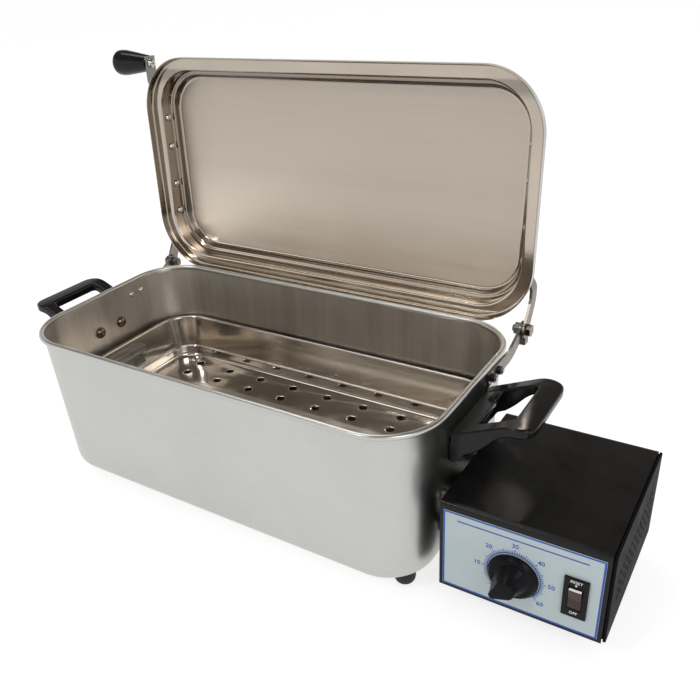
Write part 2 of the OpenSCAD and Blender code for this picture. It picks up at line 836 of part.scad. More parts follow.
module grip_screw_pin() {
    inner = arm_front_x - arm_t / 2 - seat_gap;
    color("silver") opened() translate([0, grip_y, arm_mid]) mirror([1, 0, 0]) {
        bar_x(inner, grip_x - inner + grip_bore - move_gap, grip_screw);
        translate([inner, 0, 0]) rotate([0, -90, 0]) dome(grip_head, grip_head_h);
    }
}

// Tray

module tray_pan() {
    color("lightgray") centred() difference() {
        union() {
            carried(tray_core_x, tray_core_y) {
                union() {
                    strip(tray_path, tray_sheet);
                    translate([tray_corner - tray_bead / 2, tray_rim_z - tray_bead / 2]) circle(d = tray_bead);
                }
            }
            translate([-tray_core_x, -tray_core_y, tray_z])
                cube([2 * tray_core_x, 2 * tray_core_y, tray_sheet]);
        }
        for (i = [0:hole_cols - 1], j = [0:hole_rows - 1])
            translate([in_row(i, hole_cols, hole_pitch_x), in_row(j, hole_rows, hole_pitch_y), tray_z - 1])
                cylinder(h = tray_sheet + 2, d = hole_d);
        for (x = [-tray_leg_x, tray_leg_x], y = [-tray_leg_y, tray_leg_y])
            translate([x, y, tray_z - 1]) cylinder(h = tray_sheet + 2, d = leg_pin + screw_gap);
    }
}

module tray_legs() {
    color("silver") centred() for (x = [-tray_leg_x, tray_leg_x], y = [-tray_leg_y, tray_leg_y])
        translate([x, y, floor_z + move_gap]) {
            cylinder(h = tray_leg_h - seat_gap, d = tray_leg_d);
            cylinder(h = tray_leg_h + tray_sheet + seat_gap, d = leg_pin);
            translate([0, 0, tray_leg_h + tray_sheet + seat_gap]) dome(tray_leg_d * 1.1, tray_leg_d * 0.35);
        }
}

module tray_handle() {
    off = tray_sheet / 2 + seat_gap + tray_grip_t / 2 + 0.1;
    top = tray_wall_x(tray_grip_top) - off;
    difference() {
        translate([0, tray_grip_len / 2, 0]) rotate([90, 0, 0]) linear_extrude(tray_grip_len)
            strip(soften([
                [tray_wall_x(tray_grip_low) - off, tray_grip_low, 0],
                [top, tray_grip_top, 1.5],
                [top - tray_grip_reach, tray_grip_top, 1.5],
                [top - tray_grip_reach, tray_grip_top - tray_grip_lip, 0]]), tray_grip_t);
        for (y = [-1, 1] * (tray_grip_len / 2 - 7))
            translate([0, y, (tray_grip_low + tray_grip_top) / 2 - 2]) bar_x(top - 6, 9, 4);
    }
}

module tray_handle_left() {
    color("silver") centred() mirror([1, 0, 0]) tray_handle();
}

module tray_handle_right() {
    color("silver") centred() tray_handle();
}

// Heater

module heating_element() {
    color("gray") centred() {
        for (y = [-heater_y, heater_y])
            translate([0, y, heater_z]) {
                bar_x(heater_left, heater_tip - heater_left, heater_d);
                bar_x(heater_tip, heater_pin, heater_d * 0.4);
            }
        translate([heater_left, 0, heater_z]) rotate([0, 0, 90]) rotate_extrude(angle = 180)
            translate([heater_y, 0]) circle(d = heater_d);
    }
}

module heater_glands() {
    inside = end_in_x(heater_z - gland_head / 2) - seat_gap;
    outside = end_x(heater_z + gland_head / 2) + gland_nut + 2;
    color("goldenrod") centred() for (y = [-heater_y, heater_y])
        translate([0, y, heater_z]) difference() {
            union() {
                bar_x(inside, outside - inside, gland_d);
                bar_x(inside - gland_flange, gland_flange, gland_head);
            }
            bar_x(inside - gland_flange - 1, outside - inside + gland_flange + 2, heater_d + turn_gap);
        }
}

module heater_nuts() {
    color("goldenrod") centred() for (y = [-heater_y, heater_y])
        translate([0, y, heater_z])
            nut_x(end_x(heater_z + gland_head / 2) + seat_gap, gland_nut, gland_d + 5, gland_d + turn_gap);
}

module boil_dry_cutout() {
    cutout_z = box_z + box_h / 2;
    cutout_d = 18;
    base_x = end_x(cutout_z + cutout_d / 2) + seat_gap;
    color("saddlebrown") centred() translate([0, 0, cutout_z]) {
        bar_x(base_x, 2, cutout_d);
        bar_x(base_x + 2, box_x - base_x - 2 - seat_gap, cutout_d - 5);
    }
}

// Control box

module box_shell() {
    color([0.12, 0.12, 0.12]) centred() difference() {
        union() {
            sideways(box_x, box_len) strip(box_path, box_sheet);
            sideways(box_x, box_sheet) polygon(box_path);
        }
        for (s = studs)
            translate([0, s[0], s[1]]) bar_x(box_x - 1, box_sheet + 2, stud_d + screw_gap);
        for (y = [-heater_y, heater_y])
            translate([0, y, heater_z]) bar_x(box_x - 1, box_sheet + 2, heater_d + 3);
        at_front(knob_x, knob_z) translate([0, 0, -6]) cylinder(h = 8, d = bush_d + screw_gap);
        at_front(switch_x, switch_z)
            cube([switch_body_w + screw_gap, switch_body_h + screw_gap, 12], center = true);
        translate([wire_x, box_back, inlet_z])
            cube([inlet_w + screw_gap, 2 * inlet_cut, inlet_h + screw_gap], center = true);
        for (s = [-1, 1])
            translate([wire_x + s * inlet_screw_x, box_back + inlet_cut, inlet_z]) rotate([90, 0, 0])
                cylinder(h = 2 * inlet_cut, d = inlet_screw + screw_gap);
        translate([box_end - panel_fold / 2, box_back + inlet_cut, box_z + panel_screw_up]) rotate([90, 0, 0])
            cylinder(h = 2 * inlet_cut, d = panel_screw + screw_gap);
    }
}

module box_base() {
    inset = box_sheet + seat_gap + box_sheet / 2;
    base_len = box_len - box_sheet - panel_fold - move_gap - seat_gap;
    color([0.2, 0.2, 0.2]) centred() sideways(box_x + box_sheet + seat_gap, base_len)
        strip(soften([
            [box_y + inset, box_z + base_lip, 0],
            [box_y + inset, box_z + box_sheet / 2, 1.5],
            [box_back - inset, box_z + box_sheet / 2, 1.5],
            [box_back - inset, box_z + base_lip, 0]]), box_sheet);
}

// Outline of the box seen from its end, drawn in by an inset
module end_outline(inset) {
    polygon(soften([
        [box_y + inset, (box_z + box_top) / 2, 0],
        [box_y + inset, box_top - inset, box_round],
        [box_back - inset, box_top - inset, box_round],
        [box_back - inset, box_z + inset, box_round],
        [box_y + inset, box_z + inset, box_round],
        [box_y + inset, (box_z + box_top) / 2 - 1, 0]]));
}

module box_side_panel() {
    fold_in = box_sheet + move_gap;
    vent_y = (box_y + box_back) / 2;
    vent_z = (box_z + box_top) / 2;
    color([0.1, 0.1, 0.1]) centred() difference() {
        union() {
            sideways(panel_x, panel_t) end_outline(0.4);
            sideways(box_end - panel_fold, panel_fold + panel_gap) difference() {
                end_outline(fold_in);
                end_outline(fold_in + box_sheet);
            }
        }
        sideways(panel_x - 1, panel_t - box_sheet + 1) end_outline(fold_in + box_sheet);
        for (i = [0:vent_cols - 1], j = [0:vent_rows - 1])
            translate([0, vent_y + in_row(i, vent_cols, vent_pitch), vent_z + in_row(j, vent_rows, vent_pitch)])
                bar_x(panel_x - 1, panel_t + 2, vent_d);
        translate([box_end - panel_fold / 2, box_back + 5, box_z + panel_screw_up]) rotate([90, 0, 0])
            cylinder(h = 12, d = panel_screw + screw_gap);
    }
}

module panel_screws() {
    color("silver") centred()
        translate([box_end - panel_fold / 2, box_back + seat_gap, box_z + panel_screw_up]) {
        rotate([-90, 0, 0]) dome(panel_screw * 2, panel_screw * 0.6);
        rotate([90, 0, 0]) cylinder(h = 7, d = panel_screw);
    }
}

module box_studs() {
    color("silver") centred() for (s = studs)
        let (root_x = end_x(s[1] + stud_d / 2) + seat_gap)
        translate([0, s[0], s[1]]) bar_x(root_x, box_x + box_sheet + stud_in - root_x, stud_d);
}

module box_spacers() {
    color("dimgray") centred() for (s = studs)
        translate([0, s[0], s[1]]) difference() {
            bar_x(end_x(s[1] + stud_d) + seat_gap, box_x - end_x(s[1] + stud_d) - 2 * seat_gap, stud_d * 2);
            bar_x(end_x(s[1]) - 5, 30, stud_d + turn_gap);
        }
}

module box_nuts() {
    color("silver") centred() for (s = studs)
        translate([0, s[0], s[1]]) nut_x(box_x + box_sheet + seat_gap, nut_h, stud_d * 1.6, stud_d + turn_gap);
}

// Front panel

module label_plate() {
    color("lightsteelblue") centred() difference() {
        translate([box_x + label_side, label_y, box_z + label_up]) cube([label_w, label_t, label_h]);
        at_front(knob_x, knob_z) translate([0, 0, -6]) cylinder(h = 8, d = bush_d + screw_gap);
        at_front(switch_x, switch_z)
            cube([switch_body_w + screw_gap, switch_body_h + screw_gap, 12], center = true);
    }
}

module timer_body() {
    inner = label_t + 2 * seat_gap + box_sheet;
    color("white") centred() at_front(knob_x, knob_z) difference() {
        union() {
            translate([-timer_w / 2, -timer_h / 2, -inner - timer_deep]) cube([timer_w, timer_h, timer_deep]);
            translate([0, 0, -inner - 1]) cylinder(h = inner + 1 + bush_nut + 2 * seat_gap, d = bush_d);
        }
        translate([0, 0, -inner - timer_bore]) cylinder(h = timer_bore + 20, d = shaft_d + turn_gap);
    }
}

module timer_nut() {
    color("silver") centred() at_front(knob_x, knob_z) translate([0, 0, seat_gap]) difference() {
        cylinder(h = bush_nut, d = bush_d * 1.45 / cos(30), $fn = 6);
        translate([0, 0, -1]) cylinder(h = bush_nut + 2, d = bush_d + turn_gap);
    }
}

module timer_shaft() {
    inner = label_t + 2 * seat_gap + box_sheet;
    color("silver") centred() at_front(knob_x, knob_z)
        translate([0, 0, move_gap - inner - timer_bore])
            cylinder(h = inner + timer_bore + knob_h - 2 - 2 * move_gap, d = shaft_d);
}

module timer_knob() {
    r = knob_d / 2;
    color([0.05, 0.05, 0.05]) centred() at_front(knob_x, knob_z) difference() {
        union() {
            rotate_extrude() polygon([[0, 0.8], [r, 0.8], [r, 1.8], [r * 0.9, knob_skirt - 0.6],
                [r * 0.82, knob_skirt], [0, knob_skirt]]);
            rotate([0, 0, knob_zero]) translate([0, 0, knob_skirt - 1])
                linear_extrude(knob_h - knob_skirt + 1) union() {
                circle(d = knob_grip);
                polygon([[-1, knob_grip * 0.42], [r * 0.98, knob_grip * 0.13],
                    [r * 0.98, -knob_grip * 0.13], [-1, -knob_grip * 0.42]]);
            }
        }
        translate([0, 0, -1]) cylinder(h = knob_skirt - 1, d = knob_hollow);
        translate([0, 0, -1]) cylinder(h = knob_h - 1, d = shaft_d + seat_gap / 2);
    }
}

module switch_housing() {
    color([0.08, 0.08, 0.08]) centred() at_front(switch_x, switch_z) {
        difference() {
            union() {
                translate([-switch_w / 2, -switch_h / 2, seat_gap]) cube([switch_w, switch_h, bezel_t]);
                translate([-switch_body_w / 2, -switch_body_h / 2, -switch_deep])
                    cube([switch_body_w, switch_body_h, switch_deep + seat_gap + bezel_t / 2]);
            }
            translate([-pocket_w / 2, -pocket_h / 2, bezel_t - pocket_deep])
                cube([pocket_w, pocket_h, pocket_deep + 2]);
        }
        translate([0, 0, bezel_t - rocker_axis]) bar_x(-pocket_w / 2 - 1, pocket_w + 2, rocker_pin);
    }
}

module rocker() {
    h = rocker_h / 2;
    color([0.25, 0.1, 0.1]) centred() at_front(switch_x, switch_z) translate([0, 0, bezel_t - rocker_axis])
        rotate([rocker_tilt, 0, 0]) difference() {
            sideways(-rocker_w / 2, rocker_w) polygon([
                [-h, 0.5], [-h, rocker_axis + 1.2], [0, rocker_axis + 0.4], [h, rocker_axis + 1.2], [h, 0.5],
                [3.2, 0.5], [3.2, -3], [-3.2, -3], [-3.2, 0.5]]);
            bar_x(-rocker_w, 2 * rocker_w, rocker_pin + turn_gap);
        }
}

// Inside the box

module terminal_block() {
    color("ivory") centred() translate([strip_x, strip_y, strip_z]) cube([strip_w, strip_len, strip_h]);
}

module mains_inlet() {
    color([0.1, 0.1, 0.1]) centred() translate([wire_x, box_back, inlet_z]) {
        difference() {
            union() {
                translate([-inlet_w / 2, -inlet_deep, -inlet_h / 2]) cube([inlet_w, inlet_deep + 1, inlet_h]);
                translate([-inlet_flange_w / 2, seat_gap, -inlet_flange_h / 2])
                    cube([inlet_flange_w, inlet_flange_t, inlet_flange_h]);
            }
            translate([-inlet_w / 2 + 1.5, -inlet_deep + 2, -inlet_h / 2 + 1.5])
                cube([inlet_w - 3, inlet_deep + 4, inlet_h - 3]);
            for (s = [-1, 1])
                translate([s * inlet_screw_x, 10, 0]) rotate([90, 0, 0])
                    cylinder(h = 20, d = inlet_screw + screw_gap);
        }
        for (p = [[-7, -2.5], [0, 2.5], [7, -2.5]])
            translate([p[0] - 1, -inlet_deep + 1, p[1] - 2]) cube([2, 13, 4]);
    }
}

module inlet_screws() {
    color("silver") centred() for (s = [-1, 1])
        translate([wire_x + s * inlet_screw_x, box_back + inlet_flange_t + 2 * seat_gap, inlet_z]) {
            rotate([-90, 0, 0]) dome(inlet_screw * 1.9, inlet_screw * 0.6);
            rotate([90, 0, 0]) cylinder(h = inlet_flange_t + box_sheet + 4, d = inlet_screw);
        }
}

// Wire that runs up from the terminal block and bends over, drawn along +x
module wire_up(rise, run) {
    cylinder(h = rise - wire_bend, d = wire_d);
    translate([wire_bend, 0, rise - wire_bend]) rotate([90, 0, 0]) rotate([0, 0, 90])
        rotate_extrude(angle = 90) translate([wire_bend, 0]) circle(d = wire_d);
    translate([wire_bend, 0, rise]) rotate([0, 90, 0]) cylinder(h = run - wire_bend, d = wire_d);
}

module wiring() {
    top = strip_z + strip_h + seat_gap;
    timer_right = knob_x + timer_w / 2 + seat_gap;
    back_of_timer = label_y + label_t + seat_gap + box_sheet + seat_gap + timer_deep + seat_gap;
    color("white") centred() {
        for (y = [-heater_y, heater_y])
            translate([wire_x, y, top]) rotate([0, 0, 180])
                wire_up(heater_z - top, wire_x - heater_tip - heater_pin - seat_gap);
        translate([wire_x, -wire_side, top]) rotate([0, 0, -90])
            wire_up(knob_z - top, -wire_side - back_of_timer);
        translate([wire_x, wire_side, top]) rotate([0, 0, 90])
            wire_up(inlet_z - top, box_back - inlet_deep - wire_side - seat_gap);
        translate([0, box_y + wire_in, switch_z])
            bar_x(timer_right, switch_x - switch_body_w / 2 - seat_gap - timer_right, wire_d);
    }
}

tank_shell();
rubber_feet();
foot_studs();
side_handle_left();
side_handle_right();
handle_screws();
hinge_bracket_left();
hinge_bracket_right();
bracket_screws();
bracket_nuts();
hinge_bolts();
hinge_nuts();
lid_shell();
lid_arm_left();
lid_arm_right();
arm_rivets();
lid_grip();
grip_screw_pin();
tray_pan();
tray_legs();
tray_handle_left();
tray_handle_right();
heating_element();
heater_glands();
heater_nuts();
boil_dry_cutout();
box_shell();
box_base();
box_side_panel();
panel_screws();
box_studs();
box_spacers();
box_nuts();
label_plate();
timer_body();
timer_nut();
timer_shaft();
timer_knob();
switch_housing();
rocker();
terminal_block();
mains_inlet();
inlet_screws();
wiring();
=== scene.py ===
"""Looks of a boiling-type instrument sterilizer with its lid open, a lift-out tray and a control box.

Shapes are worked out in millimetres about the tank's middle, with the bench at height zero, and are
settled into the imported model's frame in metres.
"""
import math
import bpy
import numpy as np
from mathutils import Matrix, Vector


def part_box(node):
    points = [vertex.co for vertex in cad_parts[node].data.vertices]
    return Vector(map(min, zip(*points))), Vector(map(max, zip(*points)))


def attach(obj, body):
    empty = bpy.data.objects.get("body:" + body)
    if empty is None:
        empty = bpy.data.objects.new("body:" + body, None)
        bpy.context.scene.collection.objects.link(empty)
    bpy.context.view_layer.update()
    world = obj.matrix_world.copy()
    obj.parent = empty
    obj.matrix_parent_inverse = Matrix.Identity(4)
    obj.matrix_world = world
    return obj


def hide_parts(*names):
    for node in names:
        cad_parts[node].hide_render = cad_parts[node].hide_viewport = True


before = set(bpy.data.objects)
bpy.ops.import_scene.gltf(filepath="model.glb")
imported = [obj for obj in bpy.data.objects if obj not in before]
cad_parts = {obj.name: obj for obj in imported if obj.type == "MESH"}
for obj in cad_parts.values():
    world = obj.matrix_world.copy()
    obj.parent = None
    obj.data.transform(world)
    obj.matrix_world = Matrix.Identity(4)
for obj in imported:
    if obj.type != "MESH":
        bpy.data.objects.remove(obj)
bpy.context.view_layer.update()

# Sizes in millimetres and spans in degrees, as built
MM = 0.001
TANK_CORE = (154.0, 52.5)
TANK_FLOOR_Z = 17.0
RIM_Z = 163.0
WALL_TOP_R = 47.3
DRAFT = 4.8 / 146.0
DRAFT_ANGLE = math.atan(DRAFT)
BOTTOM_EDGE = 15.0
SHEET = 1.0
HOLD = 0.3
RIM_BEAD_R = 2.5
RIM_BEAD_AT = (48.5, 160.5)
RIM_BEAD_SPAN = (241.3, 568.4)
WALL_ROWS = np.array([32.6, 60.0, 100.0, 140.0, 157.6])
HINGE_Y = 107.0
HINGE_Z = 159.0
LID_OPEN = math.radians(92.5)
LID_R = 54.0
LID_Z = 163.8
STEP_R = 41.5
LID_LEDGE_Z = LID_Z + 14.0
LID_TOP = LID_Z + 21.0
PANEL_R = 35.3
ARM_MID = LID_Z + 8.0
ARM_WALL_X = TANK_CORE[0] + STEP_R + 0.6 + 1.25
RIVET_YS = (-46.5, -17.5, 21.5, 50.5)
RIVET_HEAD = (3.75, 2.4)
GRIP_Y = -99.0
GRIP_X = 211.8
GRIP_LEN = 42.0
PIN_AT = (GRIP_X - 2.9, GRIP_Y, ARM_MID)
PIN_HEAD = (4.5, 3.0)
TRAY_CORE = (154.5, 57.5)
TRAY_Z = 61.8
TRAY_BEAD_R = 2.0
TRAY_BEAD_AT = (34.0, 104.8)
TRAY_BEAD_SPAN = (214.0, 532.0)
TRAY_EDGE_X, TRAY_EDGE_Y = 160.25, 73.8
TRAY_FLOOR_R = 18.7
TRAY_LEDGE_Z = 73.8
HOLE_R = 4.25
HOLE_DIP = 0.35
CELL_STEPS = 8
HOLE_XS = (np.arange(8) - 3.5) * (291.0 / 7.0)
HOLE_YS = (np.arange(7) - 3.0) * (133.0 / 6.0)
LEG_AT = (157.5, 68.5)
LEG_TOP = 43.4
LEG_HEAD_Z = 44.6
LEG_HEAD = (4.4, 2.8)
HANDLE_Z = 125.0
HANDLE_HALF = 40.0
HANDLE_LEG = 13.0
HANDLE_REACH = 62.0
HANDLE_BAR_IN = 44.0
HANDLE_RISE = 33.0
HANDLE_BAR_T = 8.5
HANDLE_PAD = 12.0
HANDLE_PAD_T = 8.0
HANDLE_RAIL = 17.0
HANDLE_INSET = 0.3
HANDLE_BENDS = (14.0, 5.0)
SCREW_YS = (-14.3, 14.3)
SCREW_HEAD = (5.9, 4.4)
STRAP_Z = 147.5
STRAP_YS = (36.0, 50.0)
STRAP_X = 201.09
STRAP_HEAD = (3.6, 2.6)
BOX_X = (209.0, 332.0)
BOX_Y = (-72.5, 62.0)
BOX_Z = (22.0, 102.0)
BOX_SHEET = 1.2
LABEL_Y = -73.2
LABEL_X = (212.0, 329.0)
LABEL_Z = (25.0, 96.0)
INK = 0.06
BORDER = 1.4
KNOB_AT = (267.0, 56.5)
KNOB_ZERO = math.radians(222.0)
KNOB_LOW = 4.4
KNOB_RISE = 13.2
KNOB_ROUND = 1.3
KNOB_TOP = np.array([7.4, 14.6, 2.9])
KNOB_FLARE = np.array([6.4, 4.2, 0.6])
MINUTE_TURN = math.radians(4.4)
MINUTES = 61
DIAL_RING = (19.5, 20.3)
TICK_LENS = (3.6, 2.9, 2.0)
TICK_HALF = 0.34
NUMBERS_AT = (27.6, 27.0)
SWITCH_AT = (311.5, 57.0)
SWITCH_PROUD = 2.1
ROCKER_TILT = math.radians(8.0)
FOOT_AT = (174.0, 62.5)
FOOT_R = 9.0
FOOT_SOLE_R = 4.3
FOOT_ROUND = 6.5
FOOT_TOP = 16.9

LOW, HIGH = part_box("tank_shell")
TANK_MIDDLE = np.array([(LOW.x + HIGH.x) / 2, (LOW.y + HIGH.y) / 2, 0.0])

# Camera in the tank's frame, in millimetres, degrees and pixels of a 700 by 700 picture
PICTURE = 700.0
CAMERA_AT = np.array([393.1, -473.0, 456.3])
CAMERA_AZ, CAMERA_EL, CAMERA_ROLL = np.radians([33.68, 28.85, -3.75])
CAMERA_FOCAL = 762.79
CAMERA_CENTRE = (336.01, 368.59)
SENSOR = 36.0

# Floor and lamps in metres: a lamp's name, place, width and power
FLOOR_HALF = 90.0
FLOOR_Z = -0.0002
LAMP_TARGET = (0.0, 0.0, 0.1)
LAMPS = (("key", (-0.8, 0.3, 2.2), 1.2, 14.0), ("fill", (1.6, -1.1, 1.5), 0.9, 12.0),
         ("front", (-0.5, -1.6, 1.75), 0.24, 9.0))


# ---- surfaces

def settle(points):
    """Millimetres about the tank's middle to metres in the model's frame."""
    return points * MM + TANK_MIDDLE


def grid(points, wrap=False):
    """Quads over rows and columns of points; the map measures metres along both."""
    if wrap:
        points = np.concatenate([points, points[:, :1]], axis=1)
    rows, cols = points.shape[:2]
    across = np.linalg.norm(np.diff(points, axis=1), axis=2).max(axis=0)
    down = np.linalg.norm(np.diff(points, axis=0), axis=2).mean(axis=1)
    u = np.concatenate([[0.0], np.cumsum(across)]) * MM
    v = np.concatenate([[0.0], np.cumsum(down)]) * MM
    index = np.arange(rows * cols).reshape(rows, cols)
    quads = np.stack([index[:-1, :-1], index[:-1, 1:], index[1:, 1:], index[1:, :-1]], axis=-1)
    quads = quads.reshape(-1, 4)
    maps = np.stack(np.broadcast_arrays(u[None, :], v[:, None]), axis=-1).reshape(-1, 2)[quads]
    return points.reshape(-1, 3), quads, maps


def stacked(rings, levels):
    """Closed rings of flat points, one to a level, as a grid."""
    height = np.broadcast_to(np.asarray(levels, float)[:, None, None], rings.shape[:2] + (1,))
    return grid(np.concatenate([rings, height], axis=2), wrap=True)


def raised(flat, z):
    """Flat points set at one height, as a plain list."""
    flat = flat.reshape(-1, 2)
    return np.column_stack([flat, np.full(len(flat), z)])


def arc(centre, radius, turns):
    """Points at angles, in radians, on a circle."""
    return np.stack([centre[0] + radius * np.cos(turns), centre[1] + radius * np.sin(turns)], axis=1)


def joined(*surfaces):
    """Several surfaces as one, with the later ones' corner numbers moved along."""
    starts = np.cumsum([0] + [len(s[0]) for s in surfaces])
    points = np.concatenate([s[0] for s in surfaces])
    quads = np.concatenate([s[1] + n for s, n in zip(surfaces, starts)])
    maps = np.concatenate([s[2] for s in surfaces])
    return points, quads, maps


def closed(surface):
    """Points that coincide to a thousandth become one, and the faces are turned so that the
    volume, summed over the faces as cones from the origin, is positive."""
    points, quads, maps = surface
    _, first, number = np.unique(np.round(points, 3), axis=0, return_index=True, return_inverse=True)
    points = points[first]
    quads = number.reshape(-1)[quads]
    a, b, c, d = points[quads].transpose(1, 0, 2)
    volume = (np.cross(a, b) * c).sum() + (np.cross(a, c) * d).sum()
    surface = points, quads, maps
    return flipped(surface) if volume < 0 else surface


def flipped(surface):
    """Surface with its faces turned to the other side."""
    points, quads, maps = surface
    return points, quads[:, ::-1], maps[:, ::-1]


def moved(surface, turn=None, by=(0.0, 0.0, 0.0)):
    """Surface turned by a matrix whose columns are the new axes, then shifted."""
    points, quads, maps = surface
    if turn is not None:
        points = points @ np.asarray(turn, float).T
    return points + np.asarray(by, float), quads, maps


def mirrored(surface):
    """Surface reflected to the other end of the tank, with its faces turned to suit."""
    points, quads, maps = flipped(surface)
    return points * np.array([-1.0, 1.0, 1.0]), quads, maps


def at_ends(surfaces):
    """Surfaces of the right end, and their reflections at the left end."""
    return joined(*surfaces, *[mirrored(s) for s in surfaces])


def at_corners(surface, at, z):
    """Four copies of a surface, at plus and minus two distances from the middle and at a height."""
    return joined(*[moved(surface, None, (x, y, z)) for x in (-at[0], at[0]) for y in (-at[1], at[1])])


AXIS_IN = [[0, 0, -1], [0, 1, 0], [1, 0, 0]]
FACE_FRONT = [[1, 0, 0], [0, 0, -1], [0, 1, 0]]


def about_x(angle):
    """Matrix of a turn about the x axis."""
    c, s = math.cos(angle), math.sin(angle)
    return [[1, 0, 0], [0, c, -s], [0, s, c]]


def opened(surface):
    """Closed-lid surface turned back about the hinge axis by the opening angle."""
    hinge = np.array([0.0, HINGE_Y, HINGE_Z])
    return moved(moved(surface, None, -hinge), about_x(-LID_OPEN), hinge)


def eased(path, steps=7):
    """Polyline of (x, y, reach) whose corners become parabola arcs that leave and join the straight
    runs at that reach, with a holding point just outside each arc."""
    path = np.asarray(path, float)
    out = []
    for i, (x, y, reach) in enumerate(path):
        here = np.array([x, y])
        if i == 0 or i == len(path) - 1 or reach <= 0:
            out.append(here[None])
            continue
        back = path[i - 1, :2] - here
        ahead = path[i + 1, :2] - here
        back_len, ahead_len = np.linalg.norm(back), np.linalg.norm(ahead)
        reach = min(reach, back_len * (0.95 if i == 1 else 0.48),
                    ahead_len * (0.95 if i == len(path) - 2 else 0.48))
        back, ahead = back / back_len, ahead / ahead_len
        k = np.linspace(0, 1, steps + 1)[:, None]
        bend = here + reach * (1 - k) ** 2 * back + reach * k ** 2 * ahead
        spare = min(HOLD, 0.02 * back_len, 0.02 * ahead_len)
        out.append(np.concatenate([here + back[None] * (reach + spare), bend,
                                   here + ahead[None] * (reach + spare)]))
    out = np.concatenate(out)
    apart = np.linalg.norm(np.diff(out, axis=0), axis=1) > 0.001
    return out[np.concatenate([[True], apart])]


def beside(path, d):
    """Polyline moved sideways to its left by d, mitred at its points."""
    step = np.diff(path, axis=0)
    step /= np.linalg.norm(step, axis=1)[:, None]
    left = np.stack([-step[:, 1], step[:, 0]], axis=1)
    a = np.concatenate([left[:1], left])
    b = np.concatenate([left, left[-1:]])
    return path + d * (a + b) / (1 + (a * b).sum(axis=1))[:, None]


def round_loop(core, corner, long, short):
    """Corner axes and outward directions once round a rounded rectangle: the direction turns a
    quarter at each corner, and the axis slides along the straight runs between them."""
    axes, directions = [], []
    places = [(1, -1), (1, 1), (-1, 1), (-1, -1)]
    for k, (sx, sy) in enumerate(places):
        turn = np.radians(-90 + 90 * k) + np.linspace(0, math.pi / 2, corner + 1)
        here = np.array([sx * core[0], sy * core[1]])
        axes.append(np.repeat(here[None], corner + 1, axis=0))
        directions.append(arc((0, 0), 1.0, turn))
        nx, ny = places[(k + 1) % 4]
        there = np.array([nx * core[0], ny * core[1]])
        count = short if k % 2 == 0 else long
        part = np.linspace(0, 1, count + 1)[1:-1, None]
        axes.append(here + (there - here) * part)
        directions.append(np.repeat(directions[-1][-1:], count - 1, axis=0))
    return np.concatenate(axes), np.concatenate(directions)


def carried(rows, loop):
    """Rows of (share, radius, height) carried round a loop: each point is share times the corner
    axis plus radius times the direction, at that height."""
    rows = np.asarray(rows, float)
    axes, directions = loop
    return stacked(rows[:, :1, None] * axes[None] + rows[:, 1:2, None] * directions[None], rows[:, 2])


def led(points, value):
    """Points with the same number put before the coordinates of each."""
    return np.column_stack([np.full(len(points), value), points])


def drawn(section):
    """Section of (radius, height) carried round the tank's outline, both ends run in to the middle."""
    rows = [[[0, 0, section[0, 1]]], led(section, 1.0), [[0, 0, section[-1, 1]]]]
    return closed(carried(np.concatenate(rows), round_loop(TANK_CORE, 28, 12, 6)))


def turned(profile, steps):
    """Profile of (radius, height) spun about z: x = radius cos t, y = radius sin t."""
    profile = np.asarray(profile, float)
    ring = arc((0, 0), 1.0, np.linspace(0, 2 * math.pi, steps, endpoint=False))
    return closed(stacked(profile[:, :1, None] * ring[None], profile[:, 1]))


def slab(outline, low, high, ease_low=0.0, ease_high=0.0, steps=5):
    """Closed outline stacked from low to high: quarter circles draw the outline in along its
    normals near either face, and both faces run in to the outline's middle."""
    outline = np.asarray(outline, float)
    step = np.roll(outline, -1, axis=0) - outline
    step /= np.linalg.norm(step, axis=1)[:, None]
    left = np.stack([-step[:, 1], step[:, 0]], axis=1)
    mitre = left + np.roll(left, 1, axis=0)
    mitre /= np.maximum(1 + (left * np.roll(left, 1, axis=0)).sum(axis=1), 0.3)[:, None]
    area = (outline[:, 0] * np.roll(outline[:, 1], -1) - outline[:, 1] * np.roll(outline[:, 0], -1)).sum()
    if area < 0:
        mitre = -mitre
    q = np.linspace(0, math.pi / 2, steps + 1)
    inset = np.concatenate([ease_low * (1 - np.sin(q)), ease_high * (1 - np.cos(q))])
    inset = np.concatenate([[ease_low + 0.4], inset, [ease_high + 0.4]])
    level = np.concatenate([[low, low], low + ease_low * (1 - np.cos(q)),
                            high - ease_high * (1 - np.sin(q)), [high, high]])
    rings = outline[None] + mitre[None] * inset[:, None, None]
    middle = np.broadcast_to(outline.mean(axis=0), (1,) + outline.shape)
    return closed(stacked(np.concatenate([middle, rings, middle]), level))


def oblong(x0, y0, x1, y1):
    """Outline of an upright rectangle."""
    return np.array([[x0, y0], [x1, y0], [x1, y1], [x0, y1]], float)


def dome(radius, height):
    """Profile of a low dome from its top to its edge: a quarter of an ellipse."""
    q = np.linspace(0, math.pi / 2, 9)
    return np.stack([radius * np.sin(q), height * np.cos(q)], axis=1)


# ---- pieces

def linked(name, data):
    """New object of the scene for a mesh, a curve, a lamp or a camera."""
    holder = bpy.data.objects.new(name, data)
    bpy.context.scene.collection.objects.link(holder)
    return holder


